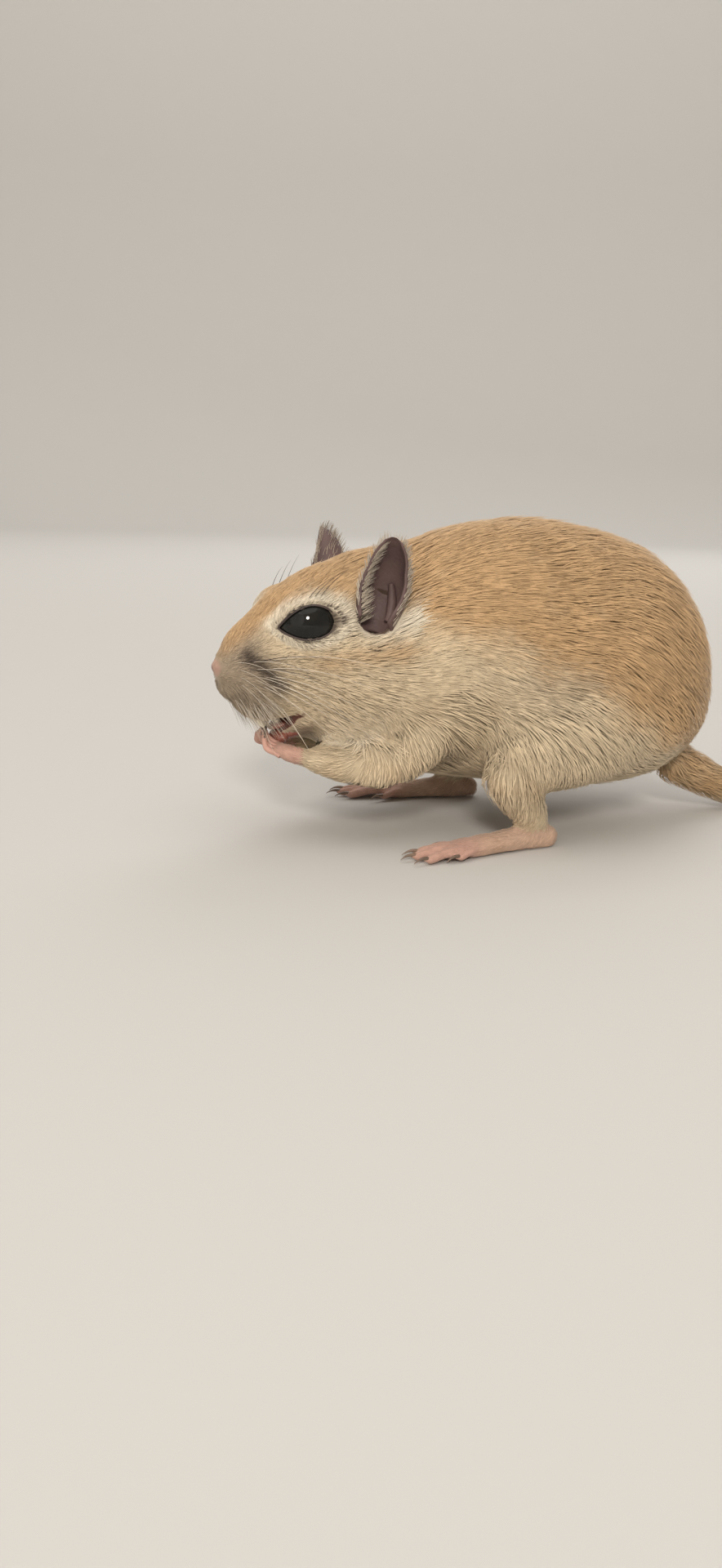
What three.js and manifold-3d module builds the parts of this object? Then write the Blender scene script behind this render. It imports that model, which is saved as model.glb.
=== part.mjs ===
// A Mongolian gerbil crouched on its hind feet with its forepaws held up to its mouth, life size.
// Millimetres. +X runs from the rump to the nose, +Y to the animal's left and +Z up. The floor is z = 0.
// Every surface is the outside of the coat. Each piece keeps a thin gap to the pieces it meets.
import * as THREE from "three";
import { LoftGeometry } from "three/addons/geometries/LoftGeometry.js";
import { mergeVertices } from "three/addons/utils/BufferGeometryUtils.js";
import Module from "manifold-3d";

const wasm = await Module();
wasm.setup();

// Driving sizes
const gap = 0.3;
const nose = new THREE.Vector3(48.9, 3.4, 26.5);
const headYaw = THREE.MathUtils.degToRad(7);
const headPitch = THREE.MathUtils.degToRad(19.6);
const eyeRadius = 4.7;
const lidThickness = 0.5;
const openingLength = 8.4;
const openingUpper = 2.7;
const openingLower = 2;
const openingTilt = THREE.MathUtils.degToRad(13);
const earHeight = 12.6;
const earThickness = 0.75;
const rightEarRise = 1.2;
const earFacing = THREE.MathUtils.degToRad(38);
const mouthWidth = 16;
const toothSpread = 0.58;
const rumpLength = 25;
const clawLength = 2.1;
const fingerSpread = [-1.5, -0.5, 0.5, 1.5];
const pawShare = 1.15;
const tailCuts = [-58, -84, -104];
const tuftStart = -106.5;
const tuftEnd = -121;
const lockRings = 6;
const locksPerRing = 5;
const lockLength = 12.5;
const lockWidth = 2.2;
const lockThickness = 0.85;
const lockLift = 3.4;
const beyond = 200;
const sides = [
  { name: "left", sign: 1 },
  { name: "right", sign: -1 },
];

// Materials
const paint = (color, roughness) => new THREE.MeshStandardMaterial({ color, roughness, metalness: 0 });
const goldCoat = paint(0xc9995f, 0.9);
const creamCoat = paint(0xd8c3a0, 0.9);
const tuftCoat = paint(0x6b5440, 0.9);
const earSkin = paint(0x7a6259, 0.75);
const pinkSkin = paint(0xc9a094, 0.7);
const eyeBlack = paint(0x0b0a0a, 0.08);
const enamel = paint(0xe6d2a0, 0.35);

// Solids
const vector = (p) => new THREE.Vector3(p.x, p.y ?? 0, p.z ?? 0);

// A closed geometry as a solid. Triangles that have closed up to a line are left out.
function solidFrom(geometry) {
  const bare = new THREE.BufferGeometry();
  bare.setAttribute("position", geometry.getAttribute("position"));
  bare.setIndex(geometry.index);
  const merged = mergeVertices(bare, 1e-4);
  const index = [];
  for (let i = 0; i < merged.index.count; i += 3) {
    const [a, b, c] = [0, 1, 2].map((k) => merged.index.getX(i + k));
    if (a !== b && b !== c && c !== a) index.push(a, b, c);
  }
  const build = (triVerts) =>
    new wasm.Manifold(
      new wasm.Mesh({ numProp: 3, vertProperties: merged.attributes.position.array, triVerts }),
    );
  const made = build(new Uint32Array(index));
  return made.volume() > 0 ? made : build(new Uint32Array(index).reverse());
}

const join = (solids) => solids.reduce((a, b) => a.add(b));
const moved = (solid, matrix) => solid.transform(matrix.elements);
const cut = (solid, ...others) => others.reduce((a, b) => a.subtract(b), solid);

// The part of a solid on the side that the normal points to, at least so far along it.
const above = (solid, normal, offset) => solid.trimByPlane(normal.toArray(), offset);
const between = (solid, normal, low, high) =>
  above(above(solid, normal, low), normal.clone().negate(), -high);

// The largest closed surface of a solid, as a named mesh.
function meshFrom(name, solid, material) {
  const bodies = solid.decompose().sort((a, b) => b.volume() - a.volume());
  const made = bodies[0].getMesh();
  const position = new Float32Array(made.numVert * 3);
  for (let i = 0; i < made.numVert; i++) {
    position.set(made.vertProperties.subarray(i * made.numProp, i * made.numProp + 3), i * 3);
  }
  const geometry = new THREE.BufferGeometry();
  geometry.setAttribute("position", new THREE.BufferAttribute(position, 3));
  geometry.setIndex(new THREE.BufferAttribute(made.triVerts, 1));
  geometry.computeVertexNormals();
  const mesh = new THREE.Mesh(geometry, material);
  mesh.name = name;
  return mesh;
}

// Sections between the rows given, eased by a curve through them. A row has a centre, a half width and the
// heights over and under its centre.
function easedRows(rows, perGap) {
  const centres = new THREE.CatmullRomCurve3(rows.map(vector));
  const sizes = new THREE.CatmullRomCurve3(rows.map((r) => new THREE.Vector3(r.wide, r.up, r.down)));
  const count = (rows.length - 1) * perGap;
  return Array.from({ length: count + 1 }, (_, i) => {
    const size = sizes.getPoint(i / count);
    const centre = centres.getPoint(i / count);
    return { centre, along: centres.getTangent(i / count), wide: size.x, up: size.y, down: size.z };
  });
}

// Shrinking copies of an end row that close it with half an egg, in order away from the body.
function domeRows(row, outward, length, count) {
  return Array.from({ length: count }, (_, i) => {
    const turn = ((i + 1) / count) * (Math.PI / 2) * 0.985;
    const share = Math.cos(turn);
    const centre = row.centre.clone().addScaledVector(row.along, outward * length * Math.sin(turn));
    return { ...row, centre, wide: row.wide * share, up: row.up * share, down: row.down * share };
  });
}

// A body skinned over rows of half-oval sections. `bumps` swell or dent it near a point, `upward` says which
// way a section's top faces, and `grow` makes the whole larger all round, as a cutter for what it sits in.
function body(rows, options = {}) {
  const {
    around = 20,
    perGap = 3,
    dome = [1, 1],
    domeCount = 3,
    upward = new THREE.Vector3(0, 0, 1),
    bumps = [],
    grow = 0,
  } = options;
  const eased = easedRows(rows, perGap);
  const start = domeRows(eased[0], -1, dome[0] + grow, domeCount).reverse();
  const end = domeRows(eased[eased.length - 1], 1, dome[1] + grow, domeCount);
  const sections = [...start, ...eased, ...end].map((row) => {
    const side = new THREE.Vector3().crossVectors(upward, row.along).normalize();
    const top = new THREE.Vector3().crossVectors(row.along, side).normalize();
    return Array.from({ length: around }, (_, i) => {
      const turn = (i / around) * Math.PI * 2;
      const height = (Math.sin(turn) > 0 ? row.up + grow : row.down + grow) * Math.sin(turn);
      const width = (row.wide + grow) * Math.cos(turn);
      const out = side.clone().multiplyScalar(width).addScaledVector(top, height);
      const point = row.centre.clone().add(out);
      for (const bump of bumps) {
        const near = Math.exp(-((point.distanceTo(bump.at) / bump.reach) ** 2));
        point.addScaledVector(out.clone().normalize(), bump.height * near);
      }
      return point;
    });
  });
  return solidFrom(new LoftGeometry(sections, { capStart: true, capEnd: true }));
}

// A round body along points, each with a radius.
function tube(points, options = {}) {
  const rows = points.map(([x, y, z, r]) => ({ x, y, z, wide: r, up: r, down: r }));
  const ends = [points[0][3], points[points.length - 1][3]];
  return body(rows, { around: 8, perGap: 2, dome: ends, domeCount: 2, ...options });
}

const ball = (radius, at) => solidFrom(new THREE.SphereGeometry(radius, 16, 10).translate(at.x, at.y, at.z));

// Trunk: one egg from the nape to the rump, highest over the loins and widest at the haunches
const trunkRows = [
  { x: 30, y: 1.6, z: 29, wide: 12, up: 14.6, down: 15 },
  { x: 21, y: 0.8, z: 28, wide: 15, up: 18.7, down: 17.6 },
  { x: 11, y: 0.2, z: 27, wide: 18, up: 22.8, down: 18.7 },
  { x: 0, z: 25.6, wide: 20.4, up: 25.5, down: 18.2 },
  { x: -11, z: 23.6, wide: 21.7, up: 25.7, down: 17.4 },
];
const trunkMake = { around: 30, perGap: 2, dome: [6, rumpLength], domeCount: 6 };
const trunk = body(trunkRows, trunkMake);

// Head, in its own frame: nose tip at the origin, +X forward along the skull, +Z out of the crown
const headFrame = new THREE.Matrix4()
  .makeRotationFromEuler(new THREE.Euler(0, headPitch, headYaw, "ZYX"))
  .setPosition(nose);
const toHead = headFrame.clone().invert();
const headRows = [
  { x: -1.1, z: -1, wide: 2.7, up: 3.5, down: 3.6 },
  { x: -3.6, z: -1.6, wide: 4.6, up: 5.8, down: 6.9 },
  { x: -8, z: -2.2, wide: 6.5, up: 9.3, down: 11.2 },
  { x: -12, z: -2.6, wide: 8.3, up: 11.2, down: 13.2 },
  { x: -16, z: -2.9, wide: 9.8, up: 12.4, down: 14.6 },
  { x: -21, z: -3.2, wide: 11.3, up: 13.2, down: 15.2 },
  { x: -27, z: -3.6, wide: 12.5, up: 13.6, down: 15.4 },
  { x: -32, z: -4, wide: 13, up: 13.4, down: 15.2 },
];
const headBumps = sides.flatMap(({ sign }) => [
  { at: new THREE.Vector3(-4.4, 4.4 * sign, -4.4), reach: 3.4, height: 1.1 },
  { at: new THREE.Vector3(-17, 11 * sign, -9), reach: 7, height: 1 },
  { at: new THREE.Vector3(-9, 5.5 * sign, 1), reach: 3.2, height: -0.6 },
  { at: new THREE.Vector3(-15, 8.2 * sign, 3.2), reach: 5.6, height: 1.7 },
]);
const headMake = { around: 30, perGap: 2, dome: [1.5, 6], domeCount: 3, bumps: headBumps };
const skull = body(headRows, headMake);

// Eyes: each ball looks out, a little forward and up. Lids are a shell round it with an almond opening
const eyeAt = (sign) => new THREE.Vector3(-14.8, 5.15 * sign, 2.8);
const eyeLook = (sign) => new THREE.Vector3(0.26, 0.95 * sign, 0.14).normalize();
function lidOpening(sign) {
  const half = openingLength / 2;
  const almond = new THREE.Shape();
  almond.moveTo(-half, 0);
  almond.bezierCurveTo(-half * 0.55, openingUpper * 1.25, half * 0.45, openingUpper * 1.4, half, 0);
  almond.bezierCurveTo(half * 0.5, -openingLower * 1.3, -half * 0.5, -openingLower * 1.3, -half, 0);
  const prism = new THREE.ExtrudeGeometry(almond, { depth: 8, bevelEnabled: false, curveSegments: 6 });
  const look = eyeLook(sign);
  const forward = new THREE.Vector3(Math.cos(openingTilt), 0, Math.sin(openingTilt));
  const back = forward.addScaledVector(look, -forward.dot(look)).normalize();
  const top = new THREE.Vector3().crossVectors(back, look).normalize();
  if (top.z < 0) top.negate();
  const along = new THREE.Vector3().crossVectors(top, look).normalize();
  prism.applyMatrix4(new THREE.Matrix4().makeBasis(along, top, look).setPosition(eyeAt(sign)));
  return solidFrom(prism);
}
const eyeballs = sides.map(({ sign }) => ball(eyeRadius, eyeAt(sign)));
const sockets = sides.map(({ sign }) => ball(eyeRadius + gap, eyeAt(sign)));
const lids = sides.map(({ sign }) => ball(eyeRadius + gap + lidThickness, eyeAt(sign)));

// The bare nose: a low cushion over the tip of the snout
const nosePad = solidFrom(
  new THREE.SphereGeometry(1, 12, 8).scale(1.25, 1.8, 1.3).translate(-0.75, 0, 0.4),
);

// Nostrils: two commas under the nose tip. Mouth: a wedge from the lips back to its corners, a little open
const nostrils = sides.map(({ sign }) =>
  tube(
    [
      [0.6, 0.75 * sign, -0.6, 0.34],
      [-0.2, 1.35 * sign, 0.1, 0.42],
      [-1.2, 2.3 * sign, 0.5, 0.3],
    ],
    { around: 6, perGap: 1, domeCount: 1 },
  ),
);
const mouthCorner = { x: -9.6, z: -9.7 };
const mouthShape = new THREE.Shape()
  .moveTo(3, -8.4)
  .lineTo(-2.6, -8.6)
  .quadraticCurveTo(-6, -9.9, mouthCorner.x, mouthCorner.z)
  .quadraticCurveTo(-7.6, -10.8, -6.3, -12)
  .lineTo(-5, -14)
  .lineTo(3, -18);
const mouth = solidFrom(
  new THREE.ExtrudeGeometry(mouthShape, { depth: mouthWidth, bevelEnabled: false, curveSegments: 4 })
    .rotateX(Math.PI / 2)
    .translate(0, mouthWidth / 2, 0),
);
// The cleft of the upper lip, under the nose
const cleft = tube(
  [
    [0.5, 0, -2.2, 0.28],
    [-0.4, 0, -5, 0.34],
    [-1.6, 0, -8.4, 0.45],
  ],
  { around: 5, perGap: 1, domeCount: 1 },
);

// Ears: a thin cup, deep at its root and open towards the front and side
const earRoot = (sign) => new THREE.Vector3(-23.2, 10.4 * sign, 0.4);
const earTip = (sign) => new THREE.Vector3(-28, 13.6 * sign, sign > 0 ? 10.6 : 10.6 + rightEarRise);
const earRows = [
  { t: 0, half: 2.9, reach: 150 },
  { t: 0.16, half: 3.5, reach: 134 },
  { t: 0.34, half: 3.7, reach: 112 },
  { t: 0.52, half: 3.3, reach: 100 },
  { t: 0.7, half: 2.8, reach: 88 },
  { t: 0.85, half: 2.3, reach: 76 },
  { t: 0.95, half: 1.6, reach: 64 },
  { t: 1, half: 0.9, reach: 52 },
];
const earArc = 10;
function ear(sign) {
  const root = earRoot(sign);
  const up = earTip(sign).sub(root);
  const length = earHeight + (sign > 0 ? 0 : rightEarRise / 2);
  up.normalize();
  const face = new THREE.Vector3(Math.sin(earFacing), Math.cos(earFacing) * sign, 0);
  face.addScaledVector(up, -face.dot(up)).normalize();
  const across = new THREE.Vector3().crossVectors(face, up).normalize();
  const sections = earRows.map(({ t, half, reach }) => {
    const turn = THREE.MathUtils.degToRad(reach);
    const radius = half / Math.sin(Math.min(turn, Math.PI / 2));
    const backward = 0.9 * Math.sin(t * Math.PI);
    const middle = root
      .clone()
      .addScaledVector(up, length * t)
      .addScaledVector(face, radius - half - backward);
    const wall = earThickness * (1 - 0.25 * t);
    const arc = (r, order) =>
      order.map((i) => {
        const angle = -turn + (2 * turn * i) / earArc;
        return middle
          .clone()
          .addScaledVector(face, -Math.cos(angle) * r)
          .addScaledVector(across, Math.sin(angle) * r);
      });
    const forth = Array.from({ length: earArc + 1 }, (_, i) => i);
    return [...arc(radius, forth), ...arc(Math.max(radius - wall, 0.12), forth.reverse())];
  });
  return solidFrom(new LoftGeometry(sections, { capStart: true, capEnd: true }));
}

const skullGrown = body(headRows, { ...headMake, grow: gap });
const trunkGrown = body(trunkRows, { ...trunkMake, grow: gap });
const trunkGrownInHead = moved(trunkGrown, toHead);
const ears = sides.map(({ sign }) => cut(ear(sign), skullGrown, trunkGrownInHead));

// The hollow of the head that each cup opens into
const earHollow = (sign) =>
  tube(
    [
      [-22.6, 12.6 * sign, 3.4, 2.1],
      [-23, 10.8 * sign, 1.4, 1.9],
      [-23.4, 8.4 * sign, 0.2, 1.3],
    ],
    { around: 8, perGap: 1 },
  );

// Front teeth: two pairs of chisels that show in the open mouth
const upperTooth = [[-4, -6.4, 0.58], [-3.9, -8.6, 0.55], [-4.5, -10.9, 0.4]];
const lowerTooth = [[-8.8, -13.4, 0.58], [-7.2, -11.9, 0.52], [-6.4, -10.4, 0.36]];
const toothPair = (points, grow) =>
  join(
    sides.map(({ sign }) =>
      tube(points.map(([x, z, r]) => [x, toothSpread * sign, z, r + grow]), { around: 6 }),
    ),
  );

// Limbs, on the animal's left. The right side is the mirror image, and the forepaws follow the turned head
const thighRows = [
  { x: -18, y: 9.5, z: 21.5, wide: 11.5, up: 13, down: 13 },
  { x: -7, y: 13, z: 19, wide: 10.4, up: 12, down: 10.8 },
  { x: 4, y: 16.4, z: 16.2, wide: 7.4, up: 9, down: 8 },
];
const shankRows = [
  { x: 7, y: 18.4, z: 13.4, wide: 4.8, up: 4.8, down: 5 },
  { x: 3.9, y: 18, z: 8.6, wide: 3.6, up: 3.6, down: 3.9 },
  { x: 1, y: 17.2, z: 4.4, wide: 2.3, up: 2.4, down: 2.4 },
];
const soleRows = [
  { x: -1.6, y: 16.8, z: 1.9, wide: 1.9, up: 2, down: 2.5 },
  { x: 3, y: 17.4, z: 2, wide: 2.1, up: 1.9, down: 2.7 },
  { x: 9.2, y: 18.5, z: 1.6, wide: 2.5, up: 1.5, down: 2.2 },
  { x: 13.2, y: 19.2, z: 1.3, wide: 2.9, up: 1.2, down: 1.8 },
];
const upperArmRows = [
  { x: 12.5, y: 9.5, z: 22.5, wide: 5.4, up: 6.6, down: 6.6 },
  { x: 18.5, y: 11.8, z: 17, wide: 5.2, up: 5.6, down: 5.6 },
  { x: 23, y: 12.8, z: 13, wide: 4, up: 4, down: 3.9 },
];
const forearmRows = [
  { x: 24.2, y: 12.9, z: 12.3, wide: 3.3, up: 3.3, down: 3.2 },
  { x: 30, y: 11, z: 12.6, wide: 2.8, up: 2.9, down: 2.7 },
  { x: 35, y: 8.6, z: 13.5, wide: 1.9, up: 1.9, down: 1.9 },
];
const palmRows = [
  { x: 35.9, y: 8, z: 13.8, wide: 1.6, up: 1.5, down: 1.5 },
  { x: 38, y: 6.3, z: 14.2, wide: 2, up: 1.4, down: 1.3 },
  { x: 39.5, y: 5.3, z: 14.6, wide: 1.8, up: 1.1, down: 1 },
];
const mirrored = (rows, sign, shift = 0) => rows.map((r) => ({ ...r, y: r.y * sign + shift }));
const floorUp = new THREE.Vector3(0, 0, 1);

// Hind foot: heel and sole in one, three long toes between two short ones, and a claw on each
const hindToes = [
  { from: [10.2, 17, 1.2], to: [15.2, 15.9, 0.75], radius: 0.85 },
  { from: [13, 18, 1.2], to: [20.6, 18.6, 0.75], radius: 0.95 },
  { from: [13.4, 19.2, 1.2], to: [21.6, 20.7, 0.75], radius: 0.95 },
  { from: [13, 20.4, 1.2], to: [20.4, 22.8, 0.75], radius: 0.95 },
  { from: [10, 20.2, 1.2], to: [15.4, 22.6, 0.75], radius: 0.85 },
];
const slim = (around) => ({ around, perGap: 1, domeCount: 1 });
function hindFoot(sign, grow) {
  const soleMake = { around: 12, perGap: 2, dome: [1.6, 1.2], domeCount: 2, grow };
  const sole = body(mirrored(soleRows, sign), soleMake);
  if (grow > 0) return sole;
  const toes = hindToes.flatMap(({ from, to, radius }) => {
    const start = new THREE.Vector3(...from);
    const tip = new THREE.Vector3(...to);
    const reach = tip.clone().sub(start).normalize();
    const knuckle = start.clone().lerp(tip, 0.5).setZ(start.z + 0.35);
    const clawTip = tip.clone().addScaledVector(reach, radius + clawLength).setZ(0.4);
    const points = [
      [start.x, start.y * sign, start.z, radius],
      [knuckle.x, knuckle.y * sign, knuckle.z, radius * 0.92],
      [tip.x, tip.y * sign, tip.z, radius * 0.9],
    ];
    const claw = [
      [tip.x, tip.y * sign, tip.z + 0.25, 0.5],
      [(tip.x + clawTip.x) / 2, ((tip.y + clawTip.y) / 2) * sign, 0.95, 0.4],
      [clawTip.x, clawTip.y * sign, clawTip.z, 0.2],
    ];
    return [tube(points, slim(6)), tube(claw, slim(4))];
  });
  return above(join([sole, ...toes]), floorUp, 0);
}

// Forepaw: a small palm whose four fingers bend up and in towards the mouth
function forePaw(sign, shift) {
  const palmMake = { around: 10, perGap: 2, dome: [0.8, 0.8], domeCount: 1 };
  const palm = body(mirrored(palmRows, sign, shift), palmMake);
  const fingers = fingerSpread.flatMap((spread) => {
    const side = spread * 0.85;
    const start = [39.4 + side * 0.35, 5.3 + side * 0.75, 14.6 - side * 0.35];
    const middle = [40.8 + side * 0.3, 4.4 + side * 0.8, 15.4 - side * 0.45];
    const tip = [41.1 + side * 0.2, 3.6 + side * 0.72, 16.4 - side * 0.4];
    const claw = [41 + side * 0.15, 3.1 + side * 0.66, 17.3 - side * 0.35];
    const place = ([x, y, z], r) => [x, y * sign + shift, z, r];
    return [
      tube([place(start, 0.72), place(middle, 0.62), place(tip, 0.56)], slim(6)),
      tube([place(tip, 0.42), place(claw, 0.2)], slim(4)),
    ];
  });
  return join([palm, ...fingers]);
}

// Tail: leaves the rump, comes down to the floor and lies along it in a slow curve. Its last row is where
// the bare core of the tuft ends
const tailRoute = [
  [-32, 0, 9.5, 4.4],
  [-38.5, 0, 6.2, 3.7],
  [-46, 0.6, 3.2, 3.1],
  [-56, 2.4, 2.45, 2.7],
  [-70, 6, 2.2, 2.45],
  [-86, 9, 2.05, 2.3],
  [-102, 8.4, 2.1, 2.35],
  [-113, 5.4, 2.2, 2.3],
  [-121, 1.2, 2, 1.5],
];
const tailRows = tailRoute.map(([x, y, z, r]) => ({ x, y, z, wide: r, up: r, down: r }));
const tailMake = { around: 12, perGap: 2, dome: [2, 3], domeCount: 3 };
const tail = above(body(tailRows, tailMake), floorUp, 0);

// Locks of the tuft: flat, tapered blades that leave the core all round and lean back over one another
let seed = 11;
function draw(low, high) {
  seed = (seed * 16807) % 2147483647;
  return low + ((high - low) * seed) / 2147483647;
}
function tuftLocks() {
  const route = new THREE.CatmullRomCurve3(tailRoute.map(([x, y, z]) => new THREE.Vector3(x, y, z)));
  const spot = (x) => {
    let [low, high] = [0, 1];
    for (let i = 0; i < 30; i++) {
      const half = (low + high) / 2;
      if (route.getPoint(half).x > x) low = half;
      else high = half;
    }
    return low;
  };
  const locks = [];
  for (let ring = 0; ring < lockRings; ring++) {
    const share = ring / (lockRings - 1);
    const t = spot(THREE.MathUtils.lerp(tuftStart, tuftEnd, share));
    const centre = route.getPoint(t);
    const along = route.getTangent(t);
    const level = new THREE.Vector3().crossVectors(along, floorUp).normalize();
    for (let i = 0; i < locksPerRing; i++) {
      const turn = ((i + (ring % 2) / 2 + draw(-0.2, 0.2)) / locksPerRing) * Math.PI * 2;
      const out = level.clone().multiplyScalar(Math.cos(turn));
      out.addScaledVector(new THREE.Vector3().crossVectors(level, along), Math.sin(turn)).normalize();
      const length = lockLength * draw(0.82, 1.1) * (1 - 0.15 * share);
      const lift = lockLift * draw(0.7, 1.1) * (1 - 0.45 * share);
      const width = lockWidth * draw(0.85, 1.15);
      const rows = [
        { t: 0, out: 0.9, wide: 0.7 },
        { t: 0.3, out: 0.42 * lift + 1.1, wide: 1 },
        { t: 0.66, out: 0.78 * lift + 1, wide: 0.85 },
        { t: 1, out: 0.95 * lift + 0.7, wide: 0.2 },
      ].map((row) => {
        const point = centre.clone().addScaledVector(along, length * row.t);
        point.addScaledVector(out, row.out);
        const half = (width * row.wide) / 2;
        const thick = (lockThickness * Math.max(row.wide, 0.45)) / 2;
        return { x: point.x, y: point.y, z: Math.max(point.z, 0.9), wide: half, up: thick, down: thick };
      });
      locks.push(body(rows, { around: 4, perGap: 1, dome: [0.3, 0.6], domeCount: 1, upward: out }));
    }
  }
  return above(join(locks), floorUp, 0);
}

// Parting of head, neck and trunk. Each plane leans back at the crown and forward at the throat
const headPlane = { normal: new THREE.Vector3(0.951, 0, 0.308).normalize(), offset: 30.6 };
const neckPlane = { normal: new THREE.Vector3(0.967, 0, 0.253).normalize(), offset: 21 };
const headGroup = new THREE.Group();
headGroup.applyMatrix4(headFrame);
const headNormal = headPlane.normal.clone().transformDirection(toHead);
const headOffset = headPlane.offset - headPlane.normal.dot(nose);

// A slice of the flank or shoulder: an oval rod along Y, from its inner face out past the skin
function plug(at, halfLength, halfHeight, slope, sign, grow) {
  const reach = 30;
  const oval = new THREE.CylinderGeometry(1, 1, reach, 26);
  oval.scale(halfLength + grow, 1, halfHeight + grow);
  oval.rotateY(THREE.MathUtils.degToRad(slope));
  oval.translate(at.x, (at.y - grow + reach / 2) * sign, at.z);
  return solidFrom(oval);
}
const haunch = { at: { x: -8.5, y: 9, z: 18.4 }, halfLength: 18.6, halfHeight: 10.6, slope: 14 };
const shoulder = { at: { x: 17.4, y: 6.5, z: 17.8 }, halfLength: 9.6, halfHeight: 6.2, slope: 40 };
const plugOf = ({ at, halfLength, halfHeight, slope }, sign, grow) =>
  plug(at, halfLength, halfHeight, slope, sign, grow);

const pieces = new Map();
const limbs = sides.map(({ name, sign }) => {
  const shift = sign > 0 ? 0 : nose.y * pawShare;
  const rows = {
    thigh: mirrored(thighRows, sign),
    shank: mirrored(shankRows, sign),
    upperArm: mirrored(upperArmRows, sign),
    forearm: forearmRows.map((r, i) => ({ ...r, y: r.y * sign + (shift * i) / 2 })),
  };
  const make = (grow) => ({
    thigh: body(rows.thigh, { around: 16, perGap: 2, dome: [10, 5], domeCount: 3, grow }),
    shank: body(rows.shank, { around: 12, perGap: 2, dome: [3, 1.6], domeCount: 2, grow }),
    upperArm: body(rows.upperArm, { around: 12, perGap: 2, dome: [5, 2.4], domeCount: 2, grow }),
    forearm: body(rows.forearm, { around: 12, perGap: 2, dome: [2.6, 1], domeCount: 2, grow }),
    haunch: plugOf(haunch, sign, grow),
    shoulder: plugOf(shoulder, sign, grow),
  });
  return { name, sign, shift, real: make(0), room: make(gap) };
});
const joined = limbs.flatMap(({ real }) => [real.thigh, real.upperArm]);
const flesh = join([trunk, moved(skull, headFrame), ...joined]);

// The head, with everything that opens or sits in it cut away
const fleshOfHead = cut(moved(flesh, toHead), ...limbs.map(({ room }) => moved(room.shoulder, toHead)));
const headWhole = above(join([fleshOfHead, nosePad, ...lids]), headNormal, headOffset + gap / 2);
const pairs = sides.flatMap(({ sign }) => [lidOpening(sign), earHollow(sign)]);
const openings = [...sockets, ...pairs, ...nostrils, mouth, cleft];
const teethRooms = [toothPair(upperTooth, gap), toothPair(lowerTooth, gap)];
const forearmRooms = limbs.map(({ room }) => moved(room.forearm, toHead));
const head = cut(headWhole, ...openings, ...teethRooms, ...forearmRooms);
headGroup.add(meshFrom("head", head, goldCoat));
headGroup.add(meshFrom("upper_incisors", toothPair(upperTooth, 0), enamel));
headGroup.add(meshFrom("lower_incisors", toothPair(lowerTooth, 0), enamel));
sides.forEach(({ name }, i) => {
  headGroup.add(meshFrom(`eye_${name}`, eyeballs[i], eyeBlack));
  headGroup.add(meshFrom(`ear_${name}`, ears[i], earSkin));
});

// Neck and torso, cut clear of the limbs and the tail
const limbRooms = limbs.flatMap(({ room }) => [room.haunch, room.shank, room.shoulder, room.forearm]);
const tailRoom = body(tailRows.slice(0, 4), { around: 12, perGap: 2, dome: [2, 2], grow: gap });
const front = above(flesh, neckPlane.normal, neckPlane.offset + gap / 2);
const neck = between(front, headPlane.normal, -beyond, headPlane.offset - gap / 2);
const torso = between(flesh, neckPlane.normal, -beyond, neckPlane.offset - gap / 2);
pieces.set("neck", [cut(neck, ...limbRooms), goldCoat]);
pieces.set("torso", [cut(torso, ...limbRooms, tailRoom), goldCoat]);

const skullRoom = moved(skullGrown, headFrame);
for (const { name, sign, shift, real, room } of limbs) {
  pieces.set(`thigh_${name}`, [cut(flesh.intersect(real.haunch), room.shank), creamCoat]);
  pieces.set(`shank_${name}`, [cut(real.shank, hindFoot(sign, gap)), creamCoat]);
  pieces.set(`hind_foot_${name}`, [hindFoot(sign, 0), pinkSkin]);
  pieces.set(`upper_arm_${name}`, [cut(flesh.intersect(real.shoulder), room.forearm), creamCoat]);
  pieces.set(`forearm_${name}`, [cut(real.forearm, skullRoom), creamCoat]);
  pieces.set(`forepaw_${name}`, [cut(forePaw(sign, shift), room.forearm, skullRoom), pinkSkin]);
}

const tailNormal = new THREE.Vector3(-1, 0, 0);
const tuft = tail.add(tuftLocks());
const tailEdges = [-beyond, ...tailCuts.map((x) => -x), beyond];
const tailLengths = [
  { name: "tail_base", from: tail, coat: goldCoat },
  { name: "tail_middle", from: tail, coat: goldCoat },
  { name: "tail_end", from: tail, coat: goldCoat },
  { name: "tail_tuft", from: tuft, coat: tuftCoat },
];
tailLengths.forEach(({ name, from, coat }, i) => {
  const [low, high] = [tailEdges[i] + gap / 2, tailEdges[i + 1] - gap / 2];
  pieces.set(name, [between(from, tailNormal, low, high), coat]);
});

const animal = new THREE.Group();
animal.add(headGroup);
for (const [name, [solid, material]] of pieces) animal.add(meshFrom(name, solid, material));

// The origin is the middle of the whole on the floor
const gerbil = new THREE.Group();
gerbil.add(animal);
gerbil.updateMatrixWorld(true);
const box = new THREE.Box3().setFromObject(gerbil, true);
animal.position.set(-(box.min.x + box.max.x) / 2, -(box.min.y + box.max.y) / 2, -box.min.z);

export default gerbil;
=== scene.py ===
# A Mongolian gerbil, life size, in a golden and cream coat, feeding with its forepaws held up to its mouth.
# The sizes in the dictionaries are millimetres. x runs from the rump to the nose, y to the animal's left and z up.
import math

import bpy
import numpy as np
from mathutils import Matrix, Vector
from mathutils.bvhtree import BVHTree


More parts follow.
